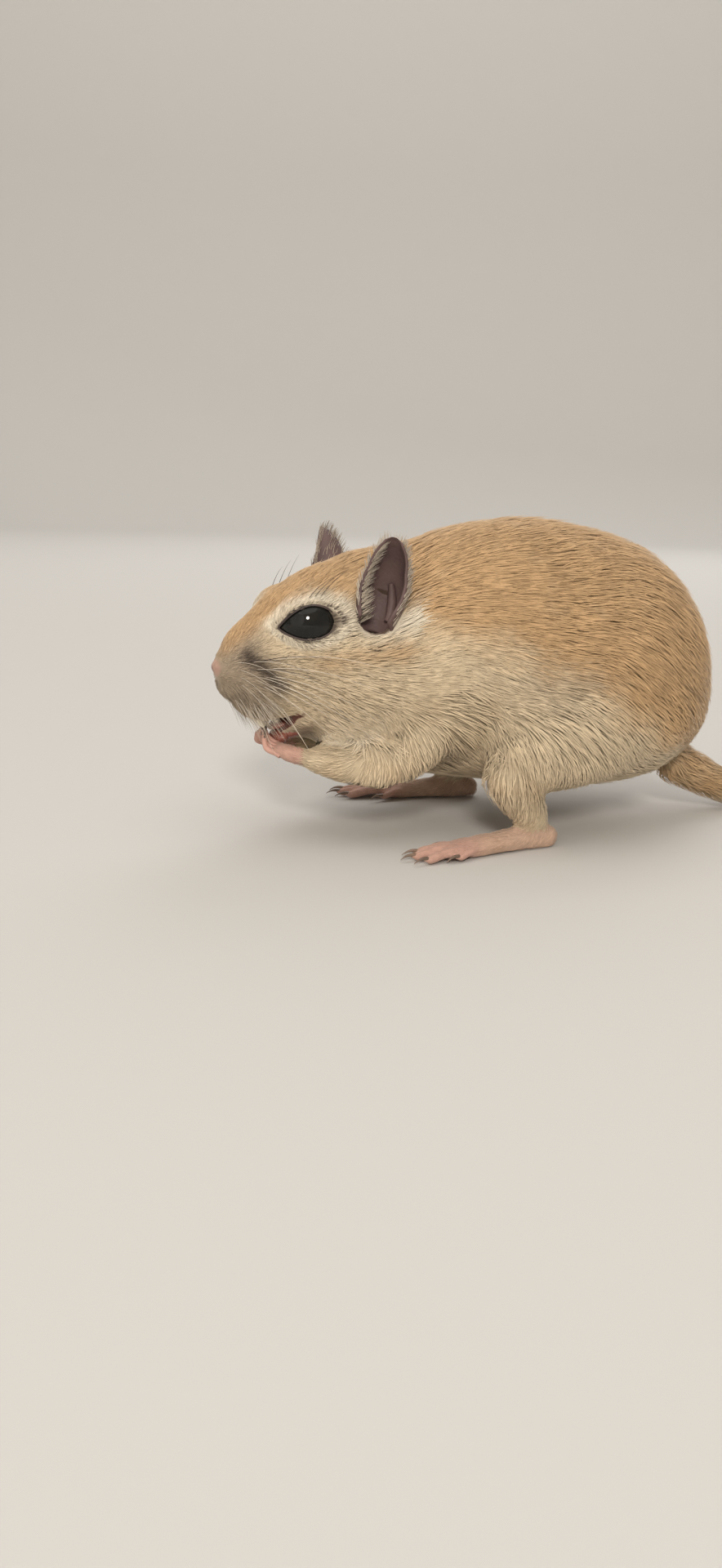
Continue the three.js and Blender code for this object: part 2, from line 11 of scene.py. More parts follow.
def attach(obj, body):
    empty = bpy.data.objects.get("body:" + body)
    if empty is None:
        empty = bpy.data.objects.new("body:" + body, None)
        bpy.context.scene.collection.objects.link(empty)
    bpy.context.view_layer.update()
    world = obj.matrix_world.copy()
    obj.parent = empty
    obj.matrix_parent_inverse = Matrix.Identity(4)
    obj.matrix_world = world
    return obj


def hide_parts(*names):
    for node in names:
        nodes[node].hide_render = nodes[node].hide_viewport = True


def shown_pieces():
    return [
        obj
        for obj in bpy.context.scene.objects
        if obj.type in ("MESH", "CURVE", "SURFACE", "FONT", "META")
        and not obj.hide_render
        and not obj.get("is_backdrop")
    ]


print("frame")
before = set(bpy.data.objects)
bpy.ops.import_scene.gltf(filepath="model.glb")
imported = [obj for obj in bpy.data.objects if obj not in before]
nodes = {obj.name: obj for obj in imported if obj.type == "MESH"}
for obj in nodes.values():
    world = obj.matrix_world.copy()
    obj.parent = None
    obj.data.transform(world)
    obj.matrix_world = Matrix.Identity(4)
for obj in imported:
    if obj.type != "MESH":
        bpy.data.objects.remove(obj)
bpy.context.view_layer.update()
scene = bpy.context.scene
rng = np.random.default_rng(41)

bodyPlan = {
    "shift": 40.801,  # from the animal's own zero, under its shoulders, to the frame's
    "nose": (48.9, 3.4, 26.5),
    "headYaw": 7.0,
    "headPitch": 19.6,
}
noseTip = np.array(bodyPlan["nose"])
headTurn = np.array(
    Matrix.Rotation(math.radians(bodyPlan["headYaw"]), 3, "Z")
    @ Matrix.Rotation(math.radians(bodyPlan["headPitch"]), 3, "Y")
)


def metres(points):  # the animal's millimetres to the frame's metres
    return (np.asarray(points, float) + (bodyPlan["shift"], 0, 0)) / 1000


def animal(points):  # the frame's metres to the animal's millimetres
    return np.asarray(points, float) * 1000 - (bodyPlan["shift"], 0, 0)


def fromHead(points):  # head coordinates: zero at the nose tip, x forward, z out of the crown
    return np.asarray(points, float) @ headTurn.T + noseTip


def toHead(points):
    return (np.asarray(points, float) - noseTip) @ headTurn


def unit(vectors):
    vectors = np.asarray(vectors, float)
    return vectors / np.maximum(np.linalg.norm(vectors, axis=-1, keepdims=True), 1e-9)


def smoothStep(low, high, value):
    t = np.clip((np.asarray(value, float) - low) / (high - low), 0, 1)
    return t * t * (3 - 2 * t)


def bell(distance, width):
    return np.exp(-((np.asarray(distance, float) / width) ** 2))


def addMesh(name, points, faces, material=None):  # points in the animal's millimetres
    mesh = bpy.data.meshes.new(name)
    mesh.from_pydata(metres(points).tolist(), [], [list(map(int, f)) for f in faces])
    mesh.update()
    mesh.polygons.foreach_set("use_smooth", [True] * len(mesh.polygons))
    if material:
        mesh.materials.append(material)
    return newObject(name, mesh)


def ringFaces(start, levels, around, turned=False, closed=False):  # four-sided faces between rings of points
    faces = []
    for k in range(levels if closed else levels - 1):
        a, b = start + k * around, start + (k + 1) % levels * around
        for i in range(around):
            n = (i + 1) % around
            faces.append((a + i, a + n, b + n, b + i) if turned else (a + i, b + i, b + n, a + n))
    return faces


def mirrored(place, sign):
    return np.array(place) * (1, sign, 1)


def segmentDistance(x, z, start, end):  # from each place to a line between two, seen from the side
    (ax, az), (bx, bz) = start, end
    share = np.clip(((x - ax) * (bx - ax) + (z - az) * (bz - az)) / ((bx - ax) ** 2 + (bz - az) ** 2), 0, 1)
    return np.hypot(x - ax - share * (bx - ax), z - az - share * (bz - az))


def newObject(name, mesh):
    piece = bpy.data.objects.new(name, mesh)
    scene.collection.objects.link(piece)
    return piece


def plainCopy(piece, name):  # the piece with its modifiers applied, as a mesh of its own
    graph = bpy.context.evaluated_depsgraph_get()
    mesh = bpy.data.meshes.new_from_object(piece.evaluated_get(graph), depsgraph=graph)
    mesh.name = name
    made = newObject(name, mesh)
    bpy.data.objects.remove(piece)
    made.name = name
    return made


def vertexPlaces(mesh):
    places = np.zeros(len(mesh.vertices) * 3, np.float32)
    mesh.vertices.foreach_get("co", places)
    return places.reshape(-1, 3).astype(float)


def vertexNormals(mesh):
    normals = np.zeros(len(mesh.vertices) * 3, np.float32)
    mesh.vertex_normals.foreach_get("vector", normals)
    return normals.reshape(-1, 3).astype(float)


def setField(mesh, name, values):
    field = mesh.attributes.new(name, "FLOAT", "POINT")
    field.data.foreach_set("value", np.asarray(values, np.float32))


# Camera and studio
print("camera and studio")
cameraPlan = {
    "place": (0.1238, 0.19213, 0.0545),  # metres
    "heading": 17.0,
    "down": 13.24,
    "roll": 1.54,
    "lens": 29.12,
}
studioPlan = {
    "floorRadius": 1.7,
    "wallRise": 1.9,
    "floorColour": (0.60, 0.585, 0.56, 1),
    "skyColour": (1.0, 0.97, 0.93, 1),
    "skyStrength": 0.42,
    "key": {"from": (0.267, 0.876, 0.454), "distance": 1.05, "size": 0.2, "watts": 6.5, "tint": (1.0, 0.94, 0.86)},
    "top": {"from": (0.2, 0.15, 1.0), "distance": 1.0, "size": 1.6, "watts": 5.6, "tint": (1.0, 0.96, 0.9)},
    "front": {"from": (0.95, 0.6, 0.35), "distance": 1.2, "size": 1.2, "watts": 2.2, "tint": (1.0, 0.95, 0.9)},
    "back": {"from": (-0.55, -0.7, 0.7), "distance": 1.2, "size": 0.8, "watts": 3, "tint": (0.97, 0.97, 1.0)},
    "wall": {"from": (0.2, 0.75, 0.63), "distance": 1.1, "size": 1.2, "watts": 6.5, "tint": (1.0, 0.97, 0.93)},
    "wallAim": (-0.35, -1.6, 0.6),
}


def addCamera():
    heading = math.radians(cameraPlan["heading"])
    down = math.radians(cameraPlan["down"])
    roll = math.radians(cameraPlan["roll"])
    level = Vector((-math.sin(heading), -math.cos(heading), 0))
    side = Vector((-math.cos(heading), math.sin(heading), 0))
    ahead = level * math.cos(down) + Vector((0, 0, -1)) * math.sin(down)
    above = side.cross(ahead)
    right = side * math.cos(roll) + above * math.sin(roll)
    top = above * math.cos(roll) - side * math.sin(roll)
    data = bpy.data.cameras.new("photoCamera")
    data.lens = cameraPlan["lens"]
    data.sensor_width = 36
    data.clip_start = 0.005
    data.clip_end = 20
    camera = newObject("photoCamera", data)
    turn = Matrix((right, top, -ahead)).transposed().to_4x4()
    camera.matrix_world = Matrix.Translation(cameraPlan["place"]) @ turn
    scene.camera = camera


def addLight(name, plan, aim=(0.06, 0, 0.025)):
    outward = Vector(plan["from"]).normalized()
    data = bpy.data.lights.new(name, "AREA")
    data.shape = "DISK"
    data.size = plan["size"]
    data.energy = plan["watts"]
    data.color = plan["tint"]
    light = newObject(name, data)
    light.location = Vector(aim) + outward * plan["distance"]
    light.rotation_euler = outward.to_track_quat("Z", "Y").to_euler()


def addStudio():
    around = 96
    profile = [(r, 0.0) for r in np.linspace(0.05, 1.0, 6) * studioPlan["floorRadius"] * 0.72]
    corner = studioPlan["floorRadius"] * 0.28
    flat = profile[-1][0]
    bend = np.linspace(0.12, math.pi / 2, 14)
    profile += [(flat + corner * math.sin(a), corner * (1 - math.cos(a))) for a in bend]
    profile.append((studioPlan["floorRadius"], studioPlan["wallRise"]))
    points, faces = [(60, 0, 0)], []
    for r, z in profile:
        for i in range(around):
            turn = 2 * math.pi * i / around
            points.append((60 + 1000 * r * math.cos(turn), 1000 * r * math.sin(turn), 1000 * z))
    faces += [(0, 1 + i, 1 + (i + 1) % around) for i in range(around)]
    faces += ringFaces(1, len(profile), around)
    paper = bpy.data.materials.new("studioPaper")
    paper.use_nodes = True
    shader = paper.node_tree.nodes["Principled BSDF"]
    shader.inputs["Base Color"].default_value = studioPlan["floorColour"]
    shader.inputs["Roughness"].default_value = 0.95
    shader.inputs["Specular IOR Level"].default_value = 0.1
    floor = addMesh("studioFloor", points, faces, paper)
    floor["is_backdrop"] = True
    world = bpy.data.worlds.new("studioSky")
    world.use_nodes = True
    sky = world.node_tree.nodes["Background"]
    sky.inputs["Color"].default_value = studioPlan["skyColour"]
    sky.inputs["Strength"].default_value = studioPlan["skyStrength"]
    scene.world = world
    for name in ("key", "top", "front", "back"):
        addLight(name + "Light", studioPlan[name])
    addLight("wallLight", studioPlan["wall"], studioPlan["wallAim"])  # keeps the backdrop pale


addCamera()
addStudio()
scene.view_settings.view_transform = "Standard"

# Shader node groups and materials
print("materials")


class Weaver:  # adds nodes to a tree and links what it is given
    def __init__(self, tree):
        self.tree = tree

    def put(self, target, value):
        if isinstance(value, bpy.types.NodeSocket):
            self.tree.links.new(value, target)
        else:
            target.default_value = value

    def node(self, kind, given=(), **settings):
        node = self.tree.nodes.new(kind)
        for name, value in settings.items():
            setattr(node, name, value)
        for key, value in dict(given).items():
            self.put(node.inputs[key], value)
        return node

    def group(self, tree, given):
        return self.node("ShaderNodeGroup", given, node_tree=tree)

    def math(self, operation, *values):
        return self.node("ShaderNodeMath", enumerate(values), operation=operation).outputs[0]

    def mix(self, factor, first, second, blend="MIX"):
        given = {0: factor, 6: first, 7: second}
        return self.node("ShaderNodeMix", given, data_type="RGBA", blend_type=blend).outputs[2]

    def range(self, *values):
        return self.node("ShaderNodeMapRange", enumerate(values)).outputs[0]

    def coords(self):
        return self.node("ShaderNodeTexCoord").outputs["Object"]

    def noise(self, scale, detail=3.0, stretch=(1, 1, 1)):
        mapping = self.node("ShaderNodeMapping", {"Scale": stretch, "Vector": self.coords()})
        given = {"Scale": scale, "Detail": detail, "Vector": mapping.outputs[0]}
        return self.node("ShaderNodeTexNoise", given).outputs[0]


def newTree(name, kind, given, results):
    tree = bpy.data.node_groups.new(name, kind)
    sockets = {}
    for label, (socketKind, value) in given.items():
        socket = tree.interface.new_socket(label, in_out="INPUT", socket_type="NodeSocket" + socketKind)
        sockets[label] = socket.identifier
        if value is not None:
            socket.default_value = value
    for label, socketKind in results.items():
        tree.interface.new_socket(label, in_out="OUTPUT", socket_type="NodeSocket" + socketKind)
    read, result = tree.nodes.new("NodeGroupInput").outputs, tree.nodes.new("NodeGroupOutput").inputs
    return Weaver(tree), read, result, sockets


# the grizzle mark carries the muzzle's grizzled grey and painted shade in the ripples of the flank
coatMarks = ("golden", "grizzle_and_shade", "dusk", "pink", "brown", "pale", "red")
coatColours = {
    "Cream": (0.67, 0.54, 0.37),
    "Golden": (0.555, 0.36, 0.19),
    "Grizzle_and_shade": (0.295, 0.23, 0.17),
    "Dusk": (0.065, 0.047, 0.038),
    "Pink": (0.62, 0.36, 0.29),
    "Brown": (0.13, 0.08, 0.058),
    "Pale": (0.84, 0.76, 0.62),
    "Red": (0.22, 0.055, 0.04),
}


def coatGroup():  # the markings of skin and coat: hair colours mixed by the marks, darker at the roots
    numbers = {mark.capitalize() + " share": 0.0 for mark in coatMarks}
    numbers.update({"Strand": 0.5, "Along": 0.5, "Root shade": 0.62, "Tip shade": 1.06})
    given = {label: ("Float", value) for label, value in numbers.items()}
    given.update({label: ("Color", (*value, 1)) for label, value in coatColours.items()})
    results = {"Colour": "Color", "Height": "Float"}
    weave, read, result, _ = newTree("coatMarkings", "ShaderNodeTree", given, results)
    patches, fine = weave.noise(170, 2), weave.noise(900, 3)
    edge = weave.math("MULTIPLY", weave.math("SUBTRACT", patches, 0.5), 0.9)
    goldenShare = weave.math("ADD", read["Golden share"], edge)
    shade = weave.mix(weave.range(goldenShare, 0.08, 0.92, 0, 1), read["Cream"], read["Golden"])
    for mark in ("Pale", "Grizzle_and_shade", "Brown", "Pink", "Red", "Dusk"):
        shade = weave.mix(read[mark + " share"], shade, read[mark])
    depth = weave.range(read["Along"], 0, 1, read["Root shade"], read["Tip shade"])
    strand = weave.range(read["Strand"], 0, 1, 0.86, 1.14)
    speckle = weave.range(fine, 0.3, 0.7, 0.93, 1.07)
    total = weave.math("MULTIPLY", weave.math("MULTIPLY", depth, strand), speckle)
    grey = weave.node("ShaderNodeCombineColor", enumerate([total] * 3))
    weave.put(result["Colour"], weave.mix(1.0, shade, grey.outputs[0], "MULTIPLY"))
    weave.put(result["Height"], weave.math("MULTIPLY", weave.math("ADD", fine, patches), 0.5))
    return weave.tree


def grainGroup():  # skin grain: cells with fine wrinkles between them
    scales = {"Cell scale": ("Float", 1500), "Wrinkle scale": ("Float", 500), "Mottle scale": ("Float", 120)}
    results = {"Height": "Float", "Mottle": "Float"}
    weave, read, result, _ = newTree("skinGrain", "ShaderNodeTree", scales, results)
    coords = weave.coords()
    given = {"Vector": coords, "Scale": read["Cell scale"]}
    cells = weave.node("ShaderNodeTexVoronoi", given, feature="DISTANCE_TO_EDGE")
    wrinkle = weave.node("ShaderNodeTexNoise", {"Vector": coords, "Scale": read["Wrinkle scale"]})
    mottle = weave.node("ShaderNodeTexNoise", {"Vector": coords, "Scale": read["Mottle scale"]})
    cell = weave.range(cells.outputs["Distance"], 0, 0.35, 0, 1)
    weave.put(result["Height"], weave.math("ADD", weave.math("MULTIPLY", cell, 0.5), wrinkle.outputs[0]))
    weave.put(result["Mottle"], mottle.outputs[0])
    return weave.tree


coatMarkings = coatGroup()
skinGrain = grainGroup()


def startMaterial(name, roughness, specular=0.3, sheen=0.0, sheenTint=(1, 1, 1), coat=0.0):
    material = bpy.data.materials.new(name)
    material.use_nodes = True
    shader = material.node_tree.nodes["Principled BSDF"]
    shader.inputs["Roughness"].default_value = roughness
    shader.inputs["Specular IOR Level"].default_value = specular
    shader.inputs["Sheen Weight"].default_value = sheen
    shader.inputs["Sheen Roughness"].default_value = 0.45
    shader.inputs["Sheen Tint"].default_value = (*sheenTint, 1)
    shader.inputs["Coat Weight"].default_value = coat
    return material, shader, Weaver(material.node_tree)


def addBump(weave, shader, height, strength, distance):
    given = {"Strength": strength, "Distance": distance / 1000, "Height": height}
    weave.put(shader.inputs["Normal"], weave.node("ShaderNodeBump", given).outputs[0])


def coatMaterial(name, onSkin, rootShade, tipShade):
    material, shader, weave = startMaterial(name, 0.82, 0.22, 0.25, (1.0, 0.93, 0.82))
    given = {"Root shade": rootShade, "Tip shade": tipShade}
    fields = {mark.capitalize() + " share": mark for mark in coatMarks}
    if not onSkin:
        fields.update({"Strand": "strand", "Along": "along"})
    for label, field in fields.items():
        given[label] = weave.node("ShaderNodeAttribute", attribute_name=field).outputs["Fac"]
    if onSkin:
        given["Strand"] = weave.noise(1400, 2, (0.25, 1, 1))
    group = weave.group(coatMarkings, given)
    if onSkin:
        addBump(weave, shader, group.outputs["Height"], 0.5, 0.25)
    weave.put(shader.inputs["Base Color"], group.outputs["Colour"])
    return material


def skinMaterial(name, colour, deep, roughness, bump=0.08, cells=1500, specular=0.35, coat=0.0):
    material, shader, weave = startMaterial(name, roughness, specular, 0, (1, 1, 1), coat)
    scales = {"Cell scale": cells, "Wrinkle scale": cells / 3, "Mottle scale": cells / 12}
    grain = weave.group(skinGrain, scales)
    factor = weave.range(grain.outputs["Mottle"], 0.35, 0.65, 0, 1)
    weave.put(shader.inputs["Base Color"], weave.mix(factor, (*colour, 1), (*deep, 1)))
    addBump(weave, shader, grain.outputs["Height"], 0.6, bump)
    return material


coatFinish = coatMaterial("coatHair", False, 0.7, 1.08)
hideFinish = coatMaterial("coatSkin", True, 0.7, 0.86)
eyeFinish, eyeShader, eyeWeave = startMaterial("eyeGloss", 0.035, 0.32)
eyeShade = eyeWeave.range(eyeWeave.noise(260, 2), 0.35, 0.65, 0, 1)
eyeWeave.put(
    eyeShader.inputs["Base Color"], eyeWeave.mix(eyeShade, (0.006, 0.0065, 0.006, 1), (0.016, 0.015, 0.013, 1))
)
lidFinish = skinMaterial("lidSkin", (0.085, 0.062, 0.055), (0.04, 0.03, 0.028), 0.5, 0.05, 2600)
noseFinish = skinMaterial("noseSkin", (0.38, 0.22, 0.19), (0.24, 0.15, 0.135), 0.5, 0.05, 3600, 0.4)
lipFinish = skinMaterial("lipSkin", (0.27, 0.095, 0.07), (0.20, 0.07, 0.055), 0.4, 0.05, 2200, 0.45)
earFinish = skinMaterial("earSkin", (0.155, 0.098, 0.09), (0.085, 0.052, 0.05), 0.6, 0.07, 1400)
clawFinish = skinMaterial("clawHorn", (0.26, 0.18, 0.13), (0.14, 0.095, 0.07), 0.35, 0.02, 2500, 0.5)
whiskerFinish = skinMaterial("whiskerHair", (0.62, 0.54, 0.44), (0.40, 0.34, 0.28), 0.4, 0.01, 900, 0.5)
darkHairFinish = skinMaterial("darkHair", (0.10, 0.075, 0.06), (0.05, 0.04, 0.033), 0.4, 0.01, 900, 0.5)
enamelFinish = skinMaterial("toothEnamel", (0.86, 0.78, 0.60), (0.80, 0.66, 0.42), 0.22, 0.015, 1400, 0.5, 0.5)

# Skin: one closed surface over all the nodes of flesh, lying inside them by the coat's depth
print("skin")
skinPlan = {
    "voxel": 0.33,
    "swell": 0.28,
    "throat": [  # soft folds that fill the hollow, each with its radius
        (33.8, 6.9, 14.4, 1.4), (31.6, 8.0, 14.3, 2.0), (28.6, 10.2, 14.5, 2.5), (25.6, 12.3, 15.0, 2.8),
    ],
    "bridge": 0.95,  # the bridge of the nose is a little fuller than the solid
    "eyeFill": 4.45,
    "rounds": 60,
    "steps": 20,  # of weight, for a smoothing that is softer on the face and the feet
    "triangles": 186000,
    "tailCore": [(-100, 8.5, 2.1, 1.9), (-106, 7.4, 2.1, 2.0), (-113, 5.4, 2.2, 1.9), (-121, 1.2, 2.0, 1.5)],
}
eyePlan = {
    "place": (-14.8, 5.15, 2.8),
    "look": (0.26, 0.95, 0.14),
    "radius": 4.7,
    "halfLength": 4.6,
    "upper": 2.7,
    "lower": 2.05,
    "tilt": 13.0,
    "clear": 4.3,  # the skin stays this close to the eye's centre inside the lids
}


def almond(count):  # the outline of the open lids, from the back corner over the top
    half, upper, lower = eyePlan["halfLength"], eyePlan["upper"], eyePlan["lower"]
    top = [(-half, 0), (-half * 0.52, upper * 1.42), (half * 0.32, upper * 1.3), (half, 0)]
    bottom = [(half, 0), (half * 0.36, -lower * 1.32), (-half * 0.5, -lower * 1.36), (-half, 0)]
    outline = []
    for ends in (top, bottom):
        for k in range(count // 2):
            t = k / (count // 2)
            shares = ((1 - t) ** 3, 3 * t * (1 - t) ** 2, 3 * t * t * (1 - t), t**3)
            outline.append([sum(s * p[i] for s, p in zip(shares, ends)) for i in range(2)])
    return np.array(outline)


earPlan = {
    "root": (-23.2, 10.4, 0.4),
    "tip": (-28.0, 13.6, 10.6),
    "facing": 38.0,
    "height": 12.9,
    "rise": {1: 0.4, -1: 1.2},
    "wall": 0.62,
    "rows": [  # share of the height, half width, how far round the cup reaches
        (-0.16, 2.3, 88), (-0.02, 2.9, 102), (0.08, 3.25, 132), (0.2, 3.55, 128), (0.34, 3.7, 112), (0.52, 3.35, 100),
        (0.7, 2.85, 88), (0.85, 2.2, 76), (0.95, 1.35, 64), (1.0, 0.35, 52),
    ],
    "hollow": 3.0,
    "hairs": {1: 560, -1: 420},
    "frontHairs": 420,
}


def earFrame(sign):
    root = mirrored(earPlan["root"], sign)
    up = unit(mirrored(earPlan["tip"], sign) + (0, 0, earPlan["rise"][sign]) - root)
    length = earPlan["height"] + earPlan["rise"][sign] / 2
    facing = math.radians(earPlan["facing"])
    face = np.array((math.sin(facing), math.cos(facing) * sign, 0))
    face = unit(face - up * (face @ up))
    return root, up, length, face, unit(np.cross(face, up))


def earSection(t):  # radius of the cup, half the angle it reaches, and how far its middle lies forward
    ts, halves, reaches = zip(*earPlan["rows"])
    half = np.interp(t, ts, halves)
    turn = np.radians(np.interp(t, ts, reaches))
    radius = half / np.sin(np.minimum(turn, math.pi / 2))
    return radius, turn, radius - half - 0.9 * np.sin(np.maximum(t, 0) * math.pi)


def earSpot(sign, t, share, inset=0.0):  # a place on the ear: t up it, share round it from -1 to 1
    root, up, length, face, across = earFrame(sign)
    radius, turn, forward = earSection(t)
    angle = share * turn
    out = -face * math.cos(angle) + across * math.sin(angle)
    return root + up * length * t + face * forward + out * max(radius - inset, 0.1), out


def earInside(local, sign, grow=0.0):  # 1 well inside the cup of the ear, 0 outside it
    root, up, length, face, across = earFrame(sign)
    offset = local - root
    t = offset @ up / length
    radius, turn, forward = earSection(t)
    flat = np.hypot(offset @ face - forward, offset @ across) - grow
    return smoothStep(radius - 0.15, radius - 0.75, flat) * smoothStep(-0.14, -0.02, t) * smoothStep(1.0, 0.8, t)


digitPlan = {
    "toes": [  # start and tip of each toe on the left
        ((10.2, 17, 1.2), (15.2, 15.9, 0.75)), ((13, 18, 1.2), (20.6, 18.6, 0.75)),
        ((13.4, 19.2, 1.2), (21.6, 20.7, 0.75)), ((13, 20.4, 1.2), (20.4, 22.8, 0.75)),
        ((10, 20.2, 1.2), (15.4, 22.6, 0.75)),
    ],
    "toeRadius": 0.84,
    "fingers": (-1.275, -0.425, 0.425, 1.275),
    "fingerRadius": 0.47,
    "sunk": 0.24,  # how far the skin lies inside the fingers
    "pawShift": 3.91,  # the far paw is held nearer to the middle
    "finger": [(39.4, 5.3, 14.6), (40.8, 4.4, 15.4), (41.1, 3.6, 16.4), (41.0, 3.1, 17.3)],
    "spread": [(0.35, 0.75, -0.35), (0.3, 0.8, -0.45), (0.2, 0.72, -0.4), (0.15, 0.66, -0.35)],
}


def fingerRows(sign, side):  # knuckle, middle, tip and end of the claw of one finger
    rows = np.array(digitPlan["finger"]) + side * np.array(digitPlan["spread"])
    return mirrored(rows, sign) + (0, 0 if sign > 0 else digitPlan["pawShift"], 0)


def digitTips():  # tip, way ahead and radius of every toe and finger
    tips = []
    for sign in (1, -1):
        for start, end in digitPlan["toes"]:
            start, end = mirrored(start, sign), mirrored(end, sign)
            tips.append((end, unit((end - start) * (1, 1, 0)), digitPlan["toeRadius"]))
        for side in digitPlan["fingers"]:
            rows = fingerRows(sign, side)
            tips.append((rows[2], unit(rows[3] - rows[2]), digitPlan["fingerRadius"] - 0.12))
    return tips


fleshNodes = sorted(
    n for n in nodes if not n.startswith(("eye_", "ear_")) and "incisors" not in n and n != "tail_tuft"
)


def eyeFrame(sign):  # centre, and the directions along the lids to the front, up and out, in head coordinates
    centre = mirrored(eyePlan["place"], sign)
    look = unit(mirrored(eyePlan["look"], sign))
    along = np.array((1.0, 0, 0))
    along = unit(along - look * (along @ look))
    up = np.cross(look, along) * sign
    if up[2] < 0:
        up = -up
    tilt = math.radians(eyePlan["tilt"])
    return centre, along * math.cos(tilt) + up * math.sin(tilt), up * math.cos(tilt) - along * math.sin(tilt), look


# Guides of the coat: place (3 numbers), lie of the hair (3), length, depth of the coat, width of a tuft, and how
# far the tuft clings to the skin. Those of the head are in head coordinates.
headGuides = [
    (-3, 0, 3, -1, 0, 0.5, 1.3, 0.25, 0.2, 1), (-6.5, 0, 5.2, -1, 0, 0.4, 1.9, 0.35, 0.22, 1),
    (-11, 0, 7.6, -1, 0, 0.3, 2.6, 0.5, 0.25, 1), (-17, 0, 9.8, -1, 0, 0.1, 3.6, 0.75, 0.28, 1),
    (-25, 0, 10.6, -1, 0, -0.1, 4.6, 1, 0.3, 1), (-32, 0, 9.8, -1, 0, -0.2, 6, 1.4, 0.33, 1),
    (-1.2, 1.9, 0.6, -0.8, 0.6, 0.1, 0.7, 0.12, 0.15, 1), (-3.9, 3.7, 1.4, -0.9, 0.3, 0.05, 1.3, 0.25, 0.18, 1),
    (-7.8, 4.2, 4.2, -1, 0.15, 0.2, 1.6, 0.25, 0.2, 1), (-5, 5.3, -0.8, -0.85, 0.2, -0.45, 1.8, 0.35, 0.19, 1),
    (-8.9, 6.2, 0.8, -1, 0.15, -0.15, 2, 0.3, 0.2, 1), (-0.4, 2, -3, -0.4, 0.35, -1, 2.2, 0.3, 0.17, 0.7),
    (-0.9, 2.2, -4.9, -0.3, 0.1, -1, 3, 0.5, 0.18, 0.35), (-2.5, 3.6, -5.4, -0.5, 0.1, -1, 3.2, 0.5, 0.18, 0.35),
    (-4.5, 5, -5.6, -0.9, 0.1, -0.9, 2.3, 0.45, 0.18, 0.8), (-6.1, 6.3, -3.5, -0.8, 0.15, -0.6, 2.4, 0.45, 0.2, 1),
    (-7.2, 5.7, -7.6, -1, 0.1, -0.3, 1.6, 0.35, 0.18, 1), (-10.2, 6.4, -9.4, -1, 0.1, -0.35, 2, 0.45, 0.2, 1),
    (-11.5, 8.4, -4, -1, 0.1, -0.3, 3.2, 0.7, 0.24, 1), (-12.4, 9.2, -1.6, -1, 0.05, -0.12, 2.2, 0.4, 0.22, 1),
    (-14.6, 9.3, 6.6, -1, 0, 0.1, 1.7, 0.3, 0.2, 1), (-19.8, 10.3, 3.2, -1, 0.1, 0, 2.4, 0.4, 0.22, 1),
    (-19, 11.6, -1, -1, 0, -0.08, 3.2, 0.7, 0.25, 1), (-18.2, 12.7, -7.5, -1, 0, -0.35, 5, 1.1, 0.28, 1),
    (-13, 9.4, -10.5, -0.85, 0, -0.6, 4.4, 1, 0.27, 1), (-5.4, 1.4, -13.8, -0.9, 0, -0.5, 1, 0.08, 0.15, 1),
    (-7.4, 2.8, -13, -0.9, 0, -0.5, 1.4, 0.16, 0.16, 1), (-10, 4, -14, -0.9, 0, -0.4, 2.6, 0.4, 0.22, 1),
    (-13, 0, -16, -1, 0, -0.2, 3.4, 0.7, 0.26, 1), (-21, 8, -16, -0.9, 0, -0.5, 5.4, 1.3, 0.3, 1),
    (-26, 14.3, -3, -1, 0, -0.1, 5, 1.1, 0.3, 1), (-26, 14.3, -10, -1, 0, -0.35, 6.2, 1.3, 0.31, 1),
    (-21.2, 10.4, 3.9, -0.6, 0.1, 0.5, 2.2, 0.4, 0.21, 1),
]
